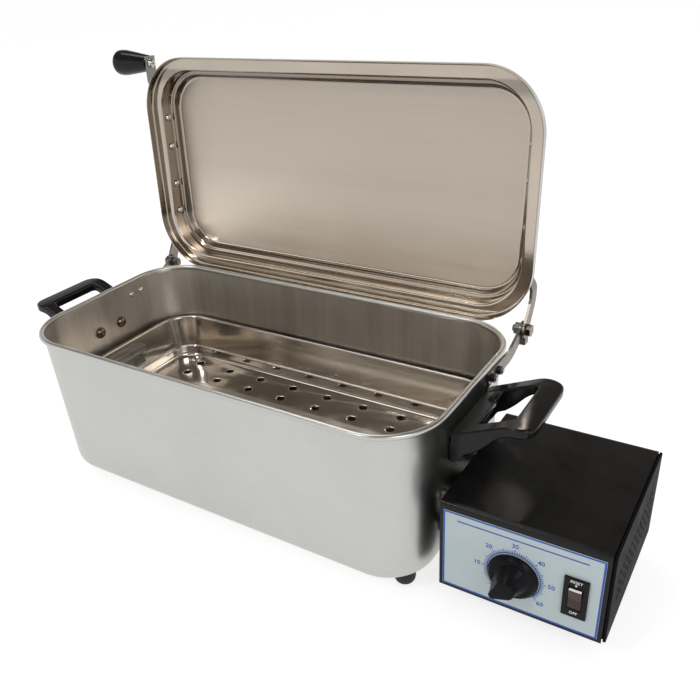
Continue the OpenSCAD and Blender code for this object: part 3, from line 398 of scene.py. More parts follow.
def make(name, surface, body, finish, stands_for=(), sharp=40.0, others=()):
    """New mesh from a surface, which rides on a body and may stand for nodes of the model. Faces
    whose map lies beyond a length take the other finish given with that length."""
    points, quads, maps = surface
    same = quads == np.roll(quads, -1, axis=1)
    lost = same.sum(axis=1)
    full, three = lost == 0, lost == 1
    kept = ~same[three]
    corners = np.concatenate([quads[full].reshape(-1), quads[three][kept]]).astype(np.int32)
    uv = np.concatenate([maps[full].reshape(-1, 2), maps[three][kept]])
    sides = np.concatenate([np.full(full.sum(), 4), np.full(three.sum(), 3)])
    starts = np.concatenate([[0], np.cumsum(sides)[:-1]]).astype(np.int32)
    mesh = bpy.data.meshes.new(name)
    mesh.vertices.add(len(points))
    mesh.vertices.foreach_set("co", settle(points).astype(np.float32).ravel())
    mesh.loops.add(len(corners))
    mesh.loops.foreach_set("vertex_index", corners)
    mesh.polygons.add(len(sides))
    mesh.polygons.foreach_set("loop_start", starts)
    mesh.polygons.foreach_set("use_smooth", np.ones(len(sides), bool))
    mesh.update(calc_edges=True)
    layer = mesh.uv_layers.new(name="along")
    layer.uv.foreach_set("vector", uv.astype(np.float32).ravel())
    mesh.validate()
    mesh.set_sharp_from_angle(angle=math.radians(sharp))
    place(name, mesh, body, finish, stands_for)
    along = np.add.reduceat(uv[:, 1], starts) / sides
    number = np.zeros(len(sides), np.int32)
    for other, beyond in others:
        mesh.materials.append(other)
        number += along > beyond
    mesh.polygons.foreach_set("material_index", number)


def place(name, mesh, body, finish, stands_for=()):
    """Object for a finished mesh, at the origin, on its body and with its finish."""
    piece = linked(name, mesh)
    mesh.materials.clear()
    mesh.materials.append(finish)
    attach(piece, body)
    if stands_for:
        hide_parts(*stands_for)


def dress(finish, *names, edge=0.35):
    """Gives nodes of the model a finish and, by modifiers, small round edges."""
    for name in names:
        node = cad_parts[name]
        for s in node.material_slots:
            s.material = finish
        weld = node.modifiers.new("weld", "WELD")
        weld.merge_threshold = 0.00001
        bevel = node.modifiers.new("edges", "BEVEL")
        bevel.width = edge * MM
        bevel.segments = 3
        bevel.limit_method = "ANGLE"
        bevel.angle_limit = math.radians(40)
        bevel.harden_normals = True


# ---- finishes

def put(tree, node, inputs):
    """Inputs of a node set to values, or linked to sockets, by name or number."""
    for key, value in inputs.items():
        if isinstance(value, bpy.types.NodeSocket):
            tree.links.new(value, node.inputs[key])
        else:
            node.inputs[key].default_value = value


def add(tree, kind, inputs=None, **settings):
    """Node of a kind, with settings and inputs."""
    node = tree.nodes.new(kind)
    for key, value in settings.items():
        setattr(node, key, value)
    put(tree, node, inputs or {})
    return node


def started(name):
    """Empty finish with its shader."""
    m = bpy.data.materials.new(name)
    m.use_nodes = True
    tree = m.node_tree
    tree.nodes.clear()
    out = add(tree, "ShaderNodeOutputMaterial")
    shader = add(tree, "ShaderNodeBsdfPrincipled")
    tree.links.new(shader.outputs[0], out.inputs[0])
    return m, tree, shader


def grain(tree, source, scale, detail, stretch=(1, 1, 1), rough=0.55):
    """Noise from nought to one, on coordinates stretched by three factors."""
    scaled = add(tree, "ShaderNodeMapping", {"Vector": source, "Scale": stretch})
    return add(tree, "ShaderNodeTexNoise", {"Vector": scaled.outputs[0], "Scale": scale, "Detail": detail,
                                            "Roughness": rough}).outputs["Fac"]


def spread(tree, value, low, high, start=0.3, end=0.7):
    """Value mapped from start..end to low..high."""
    return add(tree, "ShaderNodeMapRange", {"Value": value, "From Min": start, "From Max": end,
                                            "To Min": low, "To Max": high}).outputs[0]


def between(tree, share, first, second):
    """Colour between two colours by a share."""
    ramp = add(tree, "ShaderNodeValToRGB", {"Fac": share})
    ramp.color_ramp.elements[0].color = tuple(first) + (1.0,)
    ramp.color_ramp.elements[1].color = tuple(second) + (1.0,)
    return ramp.outputs[0]


def blend(tree, share, first, second):
    """Mix of two colours, either of which may be a socket, by a share."""
    return add(tree, "ShaderNodeMix", {"Factor": share, 6: first, 7: second}, data_type="RGBA").outputs[2]


def times(tree, first, second):
    """Product of two colours or numbers."""
    return add(tree, "ShaderNodeVectorMath", {0: first, 1: second}, operation="MULTIPLY").outputs[0]


def larger(tree, first, second):
    """Larger of two numbers."""
    return add(tree, "ShaderNodeMath", {0: first, 1: second}, operation="MAXIMUM").outputs[0]


def mean(tree, first, second, share=0.5):
    """Weighted mean of two numbers."""
    a = add(tree, "ShaderNodeMath", {0: first, 1: 1.0 - share}, operation="MULTIPLY").outputs[0]
    return add(tree, "ShaderNodeMath", {0: second, 1: share, 2: a}, operation="MULTIPLY_ADD").outputs[0]


def relief(tree, shader, height, depth):
    """Fine relief from a height between nought and one, with a depth in millimetres."""
    bump = add(tree, "ShaderNodeBump", {"Height": height, "Strength": 1.0, "Distance": depth * MM})
    put(tree, shader, {"Normal": bump.outputs[0]})


def shaded(tree, source, axis, stops):
    """Painted light and shade: a grey that follows a list of places along one axis of the coordinates and
    the shade at each.
    """
    first, last = stops[0][0], stops[-1][0]
    along = add(tree, "ShaderNodeSeparateXYZ", {0: source}).outputs[axis]
    ramp = add(tree, "ShaderNodeValToRGB", {"Fac": spread(tree, along, 0, 1, first, last)})
    marks = ramp.color_ramp.elements
    marks.remove(marks[1])
    for k, (at, shade) in enumerate(stops):
        mark = marks[0] if k == 0 else marks.new((at - first) / (last - first))
        mark.color = (shade, shade * 0.98, shade * 0.95, 1.0)
    return ramp.outputs[0]


def steel(name, dark, pale, rough, brush, depth=0.004, direction=0.35, source="UV", painted_shades=()):
    """Brushed steel: streaks along the piece's map or its own axes, broad cloudy patches and fine rub
    marks. Painted shades name the coordinates, an axis and places along it, each with the share of the
    colour that is left there: painted light and shade laid on the steel's colour."""
    m, tree, shader = started(name)
    coords = add(tree, "ShaderNodeTexCoord")
    streak = grain(tree, coords.outputs[source], 1.0, 5.0, brush, 0.6)
    cloud = grain(tree, coords.outputs["Object"], 9.0, 3.0)
    rub = grain(tree, coords.outputs["Object"], 160.0, 2.0)
    colour = between(tree, spread(tree, mean(tree, cloud, streak, 0.45), 0, 1), dark, pale)
    for kind, axis, stops in painted_shades:
        colour = times(tree, colour, shaded(tree, coords.outputs[kind], axis, stops))
    worn = mean(tree, mean(tree, streak, rub, 0.35), cloud, 0.4)
    put(tree, shader, {"Base Color": colour, "Roughness": spread(tree, worn, *rough), "Metallic": 1.0,
                       "Anisotropic": direction})
    if direction:
        tangent = add(tree, "ShaderNodeTangent", direction_type="UV_MAP", uv_map="along")
        put(tree, shader, {"Tangent": tangent.outputs[0]})
    relief(tree, shader, streak, depth)
    return m


def hardware(name, dark, pale, rough):
    """Plain metal of small parts: mottled colour, tool marks and dulled patches."""
    m, tree, shader = started(name)
    own = add(tree, "ShaderNodeTexCoord").outputs["Object"]
    cloud = grain(tree, own, 60.0, 4.0)
    marks = grain(tree, own, 900.0, 2.0, (1, 1, 0.1))
    put(tree, shader, {"Base Color": between(tree, spread(tree, cloud, 0, 1), dark, pale),
                       "Roughness": spread(tree, mean(tree, cloud, marks), *rough), "Metallic": 1.0})
    relief(tree, shader, marks, 0.01)
    return m


def moulded(name, dark, pale, rough, specular=0.5, fine=700.0, depth=0.006):
    """Moulded plastic, rubber or resin: slight mottling, dulled patches and a fine skin."""
    m, tree, shader = started(name)
    own = add(tree, "ShaderNodeTexCoord").outputs["Object"]
    cloud = grain(tree, own, 45.0, 4.0)
    skin = grain(tree, own, fine, 3.0)
    mixed = spread(tree, mean(tree, cloud, skin, 0.3), 0, 1)
    put(tree, shader, {"Base Color": between(tree, mixed, dark, pale), "Specular IOR Level": specular,
                       "Roughness": spread(tree, mean(tree, cloud, skin, 0.4), *rough)})
    relief(tree, shader, skin, depth)
    return m


# Painted light: the inside of the left end wall keeps its full colour, while the rest of the tank's inside
# is darkened to seven tenths.
TANK_PAINTED_LIGHT = (("Object", "X", ((-0.232, 1.0), (-0.190, 0.7), (0.160, 0.7))),)
# Painted reflection: the lid's panel is lightest low down and darkens towards its top.
PANEL_PAINTED_SHADE = (("Object", "Z", ((0.180, 1.0), (0.205, 0.96), (0.265, 0.65), (0.360, 0.52))),)
LID_BRUSH = (8, 300, 300)
SATIN = steel("satin_steel", (0.53, 0.53, 0.51), (0.61, 0.61, 0.585), (0.26, 0.36), (60, 900, 1))
INNER = steel("tank_inside_steel", (0.543, 0.51, 0.474), (0.98, 0.945, 0.895), (0.33, 0.48), (60, 2.5, 1),
              painted_shades=TANK_PAINTED_LIGHT)
LID_OUTSIDE = steel("lid_outside_steel", (0.53, 0.53, 0.51), (0.61, 0.61, 0.585), (0.25, 0.35), LID_BRUSH,
                    0.0006, 0.0, "Object")
# The panel's pale beige tint is a painted reflection of a warm room.
PANEL_STEEL = steel("lid_panel_steel", (0.85, 0.762, 0.668), (0.95, 0.855, 0.753), (0.36, 0.46), LID_BRUSH,
                    0.001, 0.0, "Object", PANEL_PAINTED_SHADE)
TRAY_STEEL = steel("tray_steel", (0.56, 0.528, 0.48), (0.67, 0.636, 0.585), (0.10, 0.19), (50, 500, 1),
                   0.0006)
# Strip steel of the hinge brackets and lid arms, given a dark brownish tone that is a painted reflection of
# dark surroundings.
STRIP = hardware("strip_steel", (0.19, 0.175, 0.155), (0.28, 0.262, 0.235), (0.22, 0.38))
# Dark brown steel of the screws inside the tank and of the hinge bolts: its darkness is a painted reflection
# of dark surroundings.
PAINTED_DARK_STEEL = hardware("steel_with_painted_dark_reflection", (0.15, 0.115, 0.085), (0.26, 0.205, 0.155), (0.10, 0.22))
FASTENER = hardware("fastener_steel", (0.55, 0.53, 0.50), (0.68, 0.66, 0.63), (0.12, 0.24))
# Dark finish of nuts, spacers and tray handles; on the grip screw it is also the painted shade of its cross
# recess.
DARK_NUT_AND_SHADE = hardware("darkened_nut_and_recess_shade", (0.16, 0.155, 0.15), (0.28, 0.27, 0.26), (0.3, 0.45))
SHEATH = hardware("heater_sheath", (0.22, 0.21, 0.20), (0.36, 0.34, 0.31), (0.3, 0.5))
BRASS = hardware("brass", (0.56, 0.41, 0.17), (0.68, 0.52, 0.25), (0.2, 0.36))
BAKELITE = moulded("bakelite", (0.005, 0.005, 0.005), (0.010, 0.0098, 0.0095), (0.10, 0.17), 0.23)
RUBBER = moulded("rubber", (0.011, 0.011, 0.011), (0.024, 0.023, 0.022), (0.5, 0.66), 0.35, 900.0, 0.02)
COAT = moulded("powder_coat", (0.003, 0.003, 0.003), (0.007, 0.0067, 0.0064), (0.24, 0.36), 0.25, 1500.0,
               0.03)
SIDE_COAT = moulded("side_coat", (0.004, 0.004, 0.004), (0.008, 0.0078, 0.0076), (0.45, 0.6), 0.03, 1500.0,
                    0.03)
FILM = moulded("label_film", (0.385, 0.448, 0.465), (0.425, 0.485, 0.50), (0.3, 0.42), 0.4, 900.0, 0.003)
KNOB = moulded("knob_plastic", (0.004, 0.004, 0.005), (0.008, 0.008, 0.0095), (0.22, 0.32), 0.07)
SWITCH = moulded("switch_plastic", (0.005, 0.005, 0.005), (0.009, 0.009, 0.009), (0.34, 0.46), 0.13)
ROCKER = moulded("rocker_red", (0.026, 0.010, 0.009), (0.048, 0.018, 0.015), (0.16, 0.28), 0.3)
PALE = moulded("pale_plastic", (0.66, 0.64, 0.58), (0.76, 0.74, 0.68), (0.35, 0.5), 0.4)
SLEEVE = moulded("wire_sleeve", (0.60, 0.58, 0.54), (0.74, 0.72, 0.68), (0.45, 0.6), 0.35)
RESIN = moulded("cutout_body", (0.10, 0.05, 0.028), (0.16, 0.085, 0.05), (0.35, 0.5), 0.4)
BLUE_INK = moulded("blue_ink", (0.020, 0.070, 0.31), (0.032, 0.095, 0.38), (0.35, 0.5), 0.3)
WHITE_INK = moulded("white_ink", (0.74, 0.74, 0.73), (0.84, 0.84, 0.83), (0.4, 0.55), 0.35)


# ---- tank

def wall_r(z):
    """Outside radius of the tank's wall at a height."""
    return WALL_TOP_R - (RIM_Z - z) * DRAFT


def tank_skin():
    """Floor, rounded bottom edge, leaning wall and rolled rim, out and back again on the inside."""
    edge_z = TANK_FLOOR_Z + BOTTOM_EDGE
    edge_r = wall_r(edge_z) - BOTTOM_EDGE / math.cos(DRAFT_ANGLE)
    q = np.linspace(-math.pi / 2, -DRAFT_ANGLE, 11)
    edge_out = arc((edge_r, edge_z), BOTTOM_EDGE, q)
    edge_in = arc((edge_r, edge_z), BOTTOM_EDGE - SHEET, q)[::-1]
    bead = arc(RIM_BEAD_AT, RIM_BEAD_R, np.radians(np.linspace(*RIM_BEAD_SPAN, 29)))
    wall_out = np.stack([wall_r(WALL_ROWS), WALL_ROWS], axis=1)
    wall_in = np.stack([wall_r(WALL_ROWS) - SHEET, WALL_ROWS], axis=1)[::-1]
    return drawn(np.concatenate([[[edge_r - 0.5, TANK_FLOOR_Z]], edge_out, wall_out, bead, wall_in, edge_in,
                                 [[edge_r - 0.5, TANK_FLOOR_Z + SHEET]]]))


TANK = tank_skin()
RIM_AT = TANK[2][TANK[0][TANK[1]][..., 2] > RIM_Z - 0.1][:, 1].max()
make("tank_skin", TANK, "base", SATIN, ("tank_shell",), others=((INNER, RIM_AT + 0.005),))


def foot():
    """Rubber foot as a turned profile: a flat sole, a quarter of an ellipse and a straight side."""
    q = np.linspace(0, math.pi / 2, 10)
    heel = np.stack([FOOT_SOLE_R + (FOOT_R - FOOT_SOLE_R) * np.sin(q),
                     FOOT_ROUND - FOOT_ROUND * np.cos(q)], axis=1)
    side = eased([(FOOT_R, FOOT_ROUND + 0.5, 0), (FOOT_R, FOOT_TOP, 0.6), (0, FOOT_TOP, 0)], 5)
    return turned(np.concatenate([[[0, 0]], heel, side]), 36)


make("feet_skin", at_corners(foot(), FOOT_AT, 0), "base", RUBBER, ("rubber_feet",))


# ---- side handles

def leant(surface):
    """Handle surface set on the right end wall, which leans by the draft."""
    c, s = math.cos(DRAFT_ANGLE), math.sin(DRAFT_ANGLE)
    return moved(surface, [[c, 0, s], [0, 1, 0], [-s, 0, c]],
                 (TANK_CORE[0] + wall_r(HANDLE_Z), 0, HANDLE_Z))


def handle_rail(reach, half, corner, counts):
    """One edge of the handle seen from above: out along a leg, round a corner, along the bar, back."""
    leg, bend, bar = counts
    q = np.linspace(0, 1, bend + 1)[:, None]
    out = np.linspace(2.0, reach - corner, leg)[:, None]
    leg_points = np.concatenate([out, np.full_like(out, -half)], axis=1)[:-1]
    start, peak, end = np.array([[reach - corner, -half], [reach, -half], [reach, corner - half]])
    bend_points = (1 - q) ** 2 * start + 2 * q * (1 - q) * peak + q ** 2 * end
    across = np.linspace(corner - half, half - corner, bar + 1)[1:-1, None]
    bar_points = np.concatenate([np.full_like(across, reach), across], axis=1)
    first = np.concatenate([leg_points, bend_points])
    return np.concatenate([first, bar_points, (first * [1, -1])[::-1]])


def handle_section(width, height, soft):
    """Rounded rectangles of the given half widths and half heights, as shares of them: four quarter
    circles of a soft radius, each held by a point on the flat beside it."""
    q = np.radians([0, 0, 15, 30, 45, 60, 75, 90, 90])
    hold = np.array([0.4] + [0.0] * 8)
    x = width[:, None] - soft + soft * np.cos(q)[None] - hold[None, ::-1]
    y = height[:, None] - soft + soft * np.sin(q)[None] - hold[None]
    across = np.concatenate([x, -x[:, ::-1], -x, x[:, ::-1]], axis=1)
    up = np.concatenate([y, y[:, ::-1], -y, -y[:, ::-1]], axis=1)
    return across / width[:, None], up / height[:, None]


def handle_loop():
    """Loop of the handle: at each station a rounded rectangle spans the inner and the outer edge seen
    from above; its top rises along the legs to a level bar and its underside is arched."""
    counts = (26, 14, 8)
    outer = handle_rail(HANDLE_REACH, HANDLE_HALF, HANDLE_BENDS[0], counts)
    inner = handle_rail(HANDLE_BAR_IN, HANDLE_HALF - HANDLE_LEG, HANDLE_BENDS[1], counts)
    over = eased([(0, HANDLE_PAD, 0), (HANDLE_BAR_IN, HANDLE_RISE, 6), (70, HANDLE_RISE, 0)])
    low = HANDLE_RISE - HANDLE_BAR_T
    under = eased([(0, -HANDLE_PAD, 0), (HANDLE_PAD_T, -HANDLE_PAD, 2), (12, -3.2, 2.5), (19, 0.4, 3),
                   (26, 7.4, 3), (36, 19.5, 4), (HANDLE_BAR_IN, low, 4), (HANDLE_REACH - 1, low + 1, 0),
                   (70, low + 1, 0)])
    mid, half = (outer + inner) / 2, (outer - inner) / 2
    tall = np.interp(mid[:, 0], *over.T) - np.interp(mid[:, 0], *under.T)
    along, thick = handle_section(np.linalg.norm(half, axis=1), tall / 2, 2.0)
    plane = mid[:, None] + half[:, None] * along[..., None]
    u, y = plane[..., 0], plane[..., 1]
    top, base = np.interp(u, *over.T), np.interp(u, *under.T)
    points = np.stack([u, y, (top + base) / 2 + (top - base) / 2 * thick], axis=-1)
    ends = points.mean(axis=1, keepdims=True).repeat(points.shape[1], axis=1)
    points = np.concatenate([ends[:1], points, ends[-1:]])
    return closed(grid(points, wrap=True))


def handle_foot():
    """Pad against the wall and the rail over it, as two plates whose outlines run out from the wall.
    Both lie a little inside the legs' faces, so that no two faces share a plane."""
    slope = (HANDLE_RISE - HANDLE_PAD) / HANDLE_BAR_IN
    pad_h = HANDLE_PAD - HANDLE_INSET
    over = pad_h + slope * HANDLE_RAIL
    pad = eased([(0.1, 0, 0), (0.1, -pad_h, 0.6), (HANDLE_PAD_T, -pad_h, 2), (HANDLE_PAD_T, pad_h, 1),
                 (0.1, pad_h, 0.6), (0.1, 1, 0)])
    rail = eased([(0.1, 5, 0), (0.1, 4, 0.6), (HANDLE_PAD_T, 4, 1), (HANDLE_RAIL, over - 6, 2),
                  (HANDLE_RAIL, over, 2), (0.1, pad_h, 0.6), (0.1, 6, 0)])
    half = HANDLE_HALF - HANDLE_INSET
    plates = joined(*[slab(line, -half, half, 1.6, 1.6) for line in (pad, rail)])
    return moved(plates, FACE_FRONT)


HANDLE = leant(joined(handle_foot(), handle_loop()))
make("handle_right_skin", HANDLE, "base", BAKELITE, ("side_handle_right",))
make("handle_left_skin", mirrored(HANDLE), "base", BAKELITE, ("side_handle_left",))


# ---- screws and rivets

def headed(radius, height, shank, length, tail=0.0, tail_h=0.0):
    """Domed head on a shank, spun about z with the dome up and the shank down, with an optional
    flat head at the far end."""
    parts = [dome(radius, height), [[radius * 0.96, -0.1], [shank, -0.1]]]
    if tail:
        parts.append([[shank, -length + tail_h], [tail, -length + tail_h], [tail, -length]])
    else:
        parts.append([[shank, -length]])
    parts.append([[0, -length]])
    return turned(np.concatenate([np.asarray(p, float) for p in parts]), 32)


def inner_x(z):
    """Inside face of the tank's right end wall at a height."""
    return TANK_CORE[0] + wall_r(z) - SHEET


HANDLE_SCREWS = [leant(moved(headed(*SCREW_HEAD, 2.5, 7.4), AXIS_IN, (-SHEET - 0.1, y, 0)))
                 for y in SCREW_YS]
make("handle_screws_skin", at_ends(HANDLE_SCREWS), "base", PAINTED_DARK_STEEL, ("handle_screws",))
STRAP_INNER_X = inner_x(STRAP_Z - 4)
STRAP_SCREWS = [moved(headed(*STRAP_HEAD, 2.0, STRAP_X + 7.1 - STRAP_INNER_X), AXIS_IN,
                      (STRAP_INNER_X - 0.1, y, STRAP_Z)) for y in STRAP_YS]
make("strap_screws_skin", at_ends(STRAP_SCREWS), "base", FASTENER, ("bracket_screws",))
RIVETS = [moved(headed(*RIVET_HEAD, 1.75, 5.4, RIVET_HEAD[0], 1.0), AXIS_IN, (ARM_WALL_X - 3.05, y, ARM_MID))
          for y in RIVET_YS]
make("rivets_skin", opened(at_ends(RIVETS)), "lid", FASTENER, ("arm_rivets",))


# ---- lid

def lid_skin():
    """Lip, flange, step, ledge, rise and panel of the lid as a sheet, out on one face and back."""
    path = eased([(LID_R - 0.5, RIM_Z - 7, 0), (LID_R - 0.5, LID_Z, 3), (STEP_R, LID_Z, 2),
                  (STEP_R - 0.6, LID_LEDGE_Z, 2.6), (PANEL_R + 0.6, LID_LEDGE_Z, 2),
                  (PANEL_R, LID_TOP, 3.2), (0, LID_TOP, 0)])
    upper, lower = beside(path, -SHEET / 2), beside(path, SHEET / 2)
    upper[-1, 0] = lower[-1, 0] = 0.0
    return opened(drawn(np.concatenate([upper[::-1], lower])))


LID = lid_skin()
LID_ROWS = np.unique(LID[2][..., 1])
LIP_ROW, PANEL_ROW = -54, -3
# Painted shade in the lid's folds: shares of the colour at rows of the lid's map, darker at the lip, the
# step and the rise.
LID_PAINTED_FOLD_SHADE = [(LID_ROWS[row], shade) for row, shade in (
    (LIP_ROW, 1.0), (-53, 0.5), (-50, 0.5), (-43, 1.0), (-42, 1.0), (-36, 0.78), (-32, 0.7), (-28, 0.45),
    (-24, 0.95), (-22, 0.9), (-17, 0.35), (-12, 0.3), (-8, 0.6), (PANEL_ROW, 1.0))]
# Painted reflection: the lid's steel is lightest along its lower run, darker above, and darkest in a band
# near its top.
LID_PAINTED_HEIGHT_SHADE = ((0.160, 1.0), (0.178, 1.0), (0.195, 0.667), (0.345, 0.667), (0.352, 0.42), (0.3595, 0.42),
               (0.3615, 0.667))
# Its warm tint is a painted reflection of a warm room.
LID_STEEL = steel("lid_steel", (0.75, 0.682, 0.61), (0.87, 0.797, 0.72), (0.09, 0.16), (20, 60, 1), 0.0003,
                  painted_shades=(("UV", "Y", LID_PAINTED_FOLD_SHADE), ("Object", "Z", LID_PAINTED_HEIGHT_SHADE)))
make("lid_skin", LID, "lid", LID_OUTSIDE, ("lid_shell",),
     others=((LID_STEEL, LID_ROWS[LIP_ROW]), (PANEL_STEEL, LID_ROWS[PANEL_ROW])))


def grip_skin():
    """Black taper grip as a turned profile, fat near its rounded end."""
    side = eased([(0, 0, 0), (7.6, 0, 0.8), (10.2, 16, 14), (12.6, 33, 10), (12.0, GRIP_LEN, 7),
                  (0, GRIP_LEN, 0)], 8)
    return opened(moved(turned(side, 48), AXIS_IN, (-GRIP_X, GRIP_Y, ARM_MID)))


make("grip_skin", grip_skin(), "grip", BAKELITE, ("lid_grip",))
PIN = moved(headed(*PIN_HEAD, 2.5, 34.0), AXIS_IN, PIN_AT)
make("grip_pin_skin", opened(mirrored(PIN)), "lid", FASTENER, ("grip_screw_pin",))


def cross_mark():
    """Painted shade of the cross recess of the grip's screw: two dark bars just proud of its dome."""
    bars = [slab(oblong(-a, -b, a, b), 2.5, 3.05) for a, b in ((2.0, 0.45), (0.45, 2.0))]
    return mirrored(moved(joined(*bars), AXIS_IN, PIN_AT))


make("grip_pin_cross_shade", opened(cross_mark()), "lid", DARK_NUT_AND_SHADE)


# ---- tray

TRAY_LOOP = round_loop(TRAY_CORE, 16, 48, 40)


def tray_wall():
    """Rolled rim, leaning wall, ledge and lower wall of the tray, as a sheet round its floor."""
    path = eased([(32.8, TRAY_BEAD_AT[1], 0), (26.8, TRAY_LEDGE_Z, 2.8), (24.8, TRAY_LEDGE_Z, 2.2),
                  (24.3, TRAY_Z + 0.5, 4.5), (TRAY_FLOOR_R, TRAY_Z + 0.5, 0)])
    inside, outside = beside(path, -SHEET / 2), beside(path, SHEET / 2)
    bead = arc(TRAY_BEAD_AT, TRAY_BEAD_R, np.radians(np.linspace(*TRAY_BEAD_SPAN, 25)))
    return carried(led(np.concatenate([outside[:0:-1], bead, inside[1:]]), 1.0), TRAY_LOOP)


def cell_walls(centres, edge):
    """Borders of a row of cells: midway between the holes, and at minus and plus edge."""
    return np.concatenate([[-edge], (centres[1:] + centres[:-1]) / 2, [edge]])


def pairs(xs, ys):
    """Every x with every y, as points that each stand for a cell."""
    return np.stack(np.meshgrid(xs, ys, indexing="ij"), axis=-1).reshape(-1, 1, 2)


def hole_cells(z):
    """Floor of square cells, each with a round hole: rings of points run from the cell's border to
    the hole's edge, where the sheet is pressed by a small dip."""
    xs, ys = cell_walls(HOLE_XS, TRAY_EDGE_X), cell_walls(HOLE_YS, TRAY_EDGE_Y)
    k = np.linspace(0, 1, CELL_STEPS, endpoint=False)
    one, nil = np.ones(CELL_STEPS), np.zeros(CELL_STEPS)
    border = np.stack([np.concatenate([k, one, 1 - k, nil]), np.concatenate([nil, k, one, 1 - k])], axis=1)
    low, high, centre = pairs(xs[:-1], ys[:-1]), pairs(xs[1:], ys[1:]), pairs(HOLE_XS, HOLE_YS)
    edge = low + (high - low) * border
    ray = edge - centre
    ray /= np.linalg.norm(ray, axis=2, keepdims=True)
    rings = [edge, centre + ray * (HOLE_R + 1.2), centre + ray * (HOLE_R + 0.5), centre + ray * HOLE_R]
    heights = [z, z, z - HOLE_DIP * 0.3, z - HOLE_DIP]
    return [band(*rows) for rows in zip(rings[:-1], rings[1:], heights[:-1], heights[1:])], rings[-1]


def band(first, second, z_first, z_second):
    """Quads between two closed rings of every cell."""
    cells, count = first.shape[:2]
    points = np.concatenate([raised(first, z_first), raised(second, z_second)])
    index = np.arange(cells * count).reshape(cells, count)
    after = np.roll(index, -1, axis=1)
    quads = np.stack([index, after, after + cells * count, index + cells * count], axis=-1).reshape(-1, 4)
    return points, quads, points[quads][..., :2] * MM


def cell_marks(centres, edge):
    """Places along one side of the block of cells, evenly spaced in each, from minus to plus edge."""
    walls = cell_walls(centres, edge)
    k = np.linspace(0, 1, CELL_STEPS, endpoint=False)
    return (walls[:-1, None] + np.diff(walls)[:, None] * k[None]).ravel()


def border_ring(z):
    """Flat ring of floor between the block of cells and the foot of the wall."""
    axes, directions = TRAY_LOOP
    outer = axes + TRAY_FLOOR_R * directions
    k_long = cell_marks(HOLE_XS, TRAY_EDGE_X)
    k_short = cell_marks(HOLE_YS, TRAY_EDGE_Y)
    low = np.stack([k_long, np.full_like(k_long, -TRAY_EDGE_Y)], axis=1)
    right = np.stack([np.full_like(k_short, TRAY_EDGE_X), k_short], axis=1)
    inner = np.concatenate([low, right, -low, -right])
    inner = np.roll(inner, CELL_STEPS - len(low), axis=0)
    return band(outer[None], inner[None], z, z)


def tray_skin():
    """Whole tray: wall, border ring and cells on both faces, and the holes' edges between them."""
    top_z = TRAY_Z + SHEET
    top, edge = hole_cells(top_z)
    under = hole_cells(TRAY_Z)[0]
    hole_edge = band(edge, edge, top_z - HOLE_DIP, TRAY_Z - HOLE_DIP)
    upper = joined(border_ring(top_z), *top, hole_edge)
    return joined(tray_wall(), upper, flipped(joined(border_ring(TRAY_Z), *under)))


make("tray_skin", closed(tray_skin()), "tray", TRAY_STEEL, ("tray_pan",))
LEG_NECK = [[4.2, LEG_HEAD_Z], [2.0, LEG_HEAD_Z], [2.0, LEG_TOP], [4.0, LEG_TOP]]
LEG = turned(np.concatenate([dome(*LEG_HEAD) + [0, LEG_HEAD_Z], LEG_NECK,
                             eased([(4.0, LEG_TOP - 0.4, 0), (4.0, 0, 0.8), (0, 0, 0)], 4)]), 32)
make("legs_skin", at_corners(LEG, LEG_AT, TANK_FLOOR_Z + 1.3), "tray", FASTENER, ("tray_legs",))


# ---- control box

def box_skin():
    """Folded box: the section of front, top and back as one bent sheet carried along x, and the end
    wall beside the tank as a plate of the same outline."""
    half = BOX_SHEET / 2
    front, back, top = BOX_Y[0] + half, BOX_Y[1] - half, BOX_Z[1] - half
    path = eased([(front, BOX_Z[0], 0), (front, top, 3.2), (back, top, 3.2), (back, BOX_Z[0], 0)], 8)
    outer, inner = beside(path, half), beside(path, -half)
    ring = np.concatenate([outer, inner[::-1]])
    tube = grid(np.stack([led(ring, x) for x in BOX_X]), wrap=True)
    low, high = [grid(np.stack([led(outer, x), led(inner, x)])) for x in BOX_X]
    sheet = closed(joined(tube, low, flipped(high)))
    wall = slab(path[::-1], BOX_X[0], BOX_X[0] + BOX_SHEET, 0.1, 0.0)
    return joined(sheet, closed(moved(wall, [[0, 0, 1], [1, 0, 0], [0, 1, 0]])))


make("box_skin", box_skin(), "base", COAT, ("box_shell",), 30.0)


def at_front(surface, at, off=0.0):
    """Surface drawn facing +z set on the label plate, facing the front."""
    return moved(surface, FACE_FRONT, (at[0], LABEL_Y - off, at[1]))


def drop(hub, tip, end):
    """Outline of a disc of radius hub that runs by two tangents to a round end, which reaches tip away
    from the axis."""
    bend = math.acos((hub - end) / (tip - end))
    hub_part = arc((0, 0), hub, np.linspace(bend, 2 * math.pi - bend, 65))
    tip_part = arc((tip - end, 0), end, np.linspace(-bend, bend, 15))
    return np.concatenate([hub_part, tip_part])


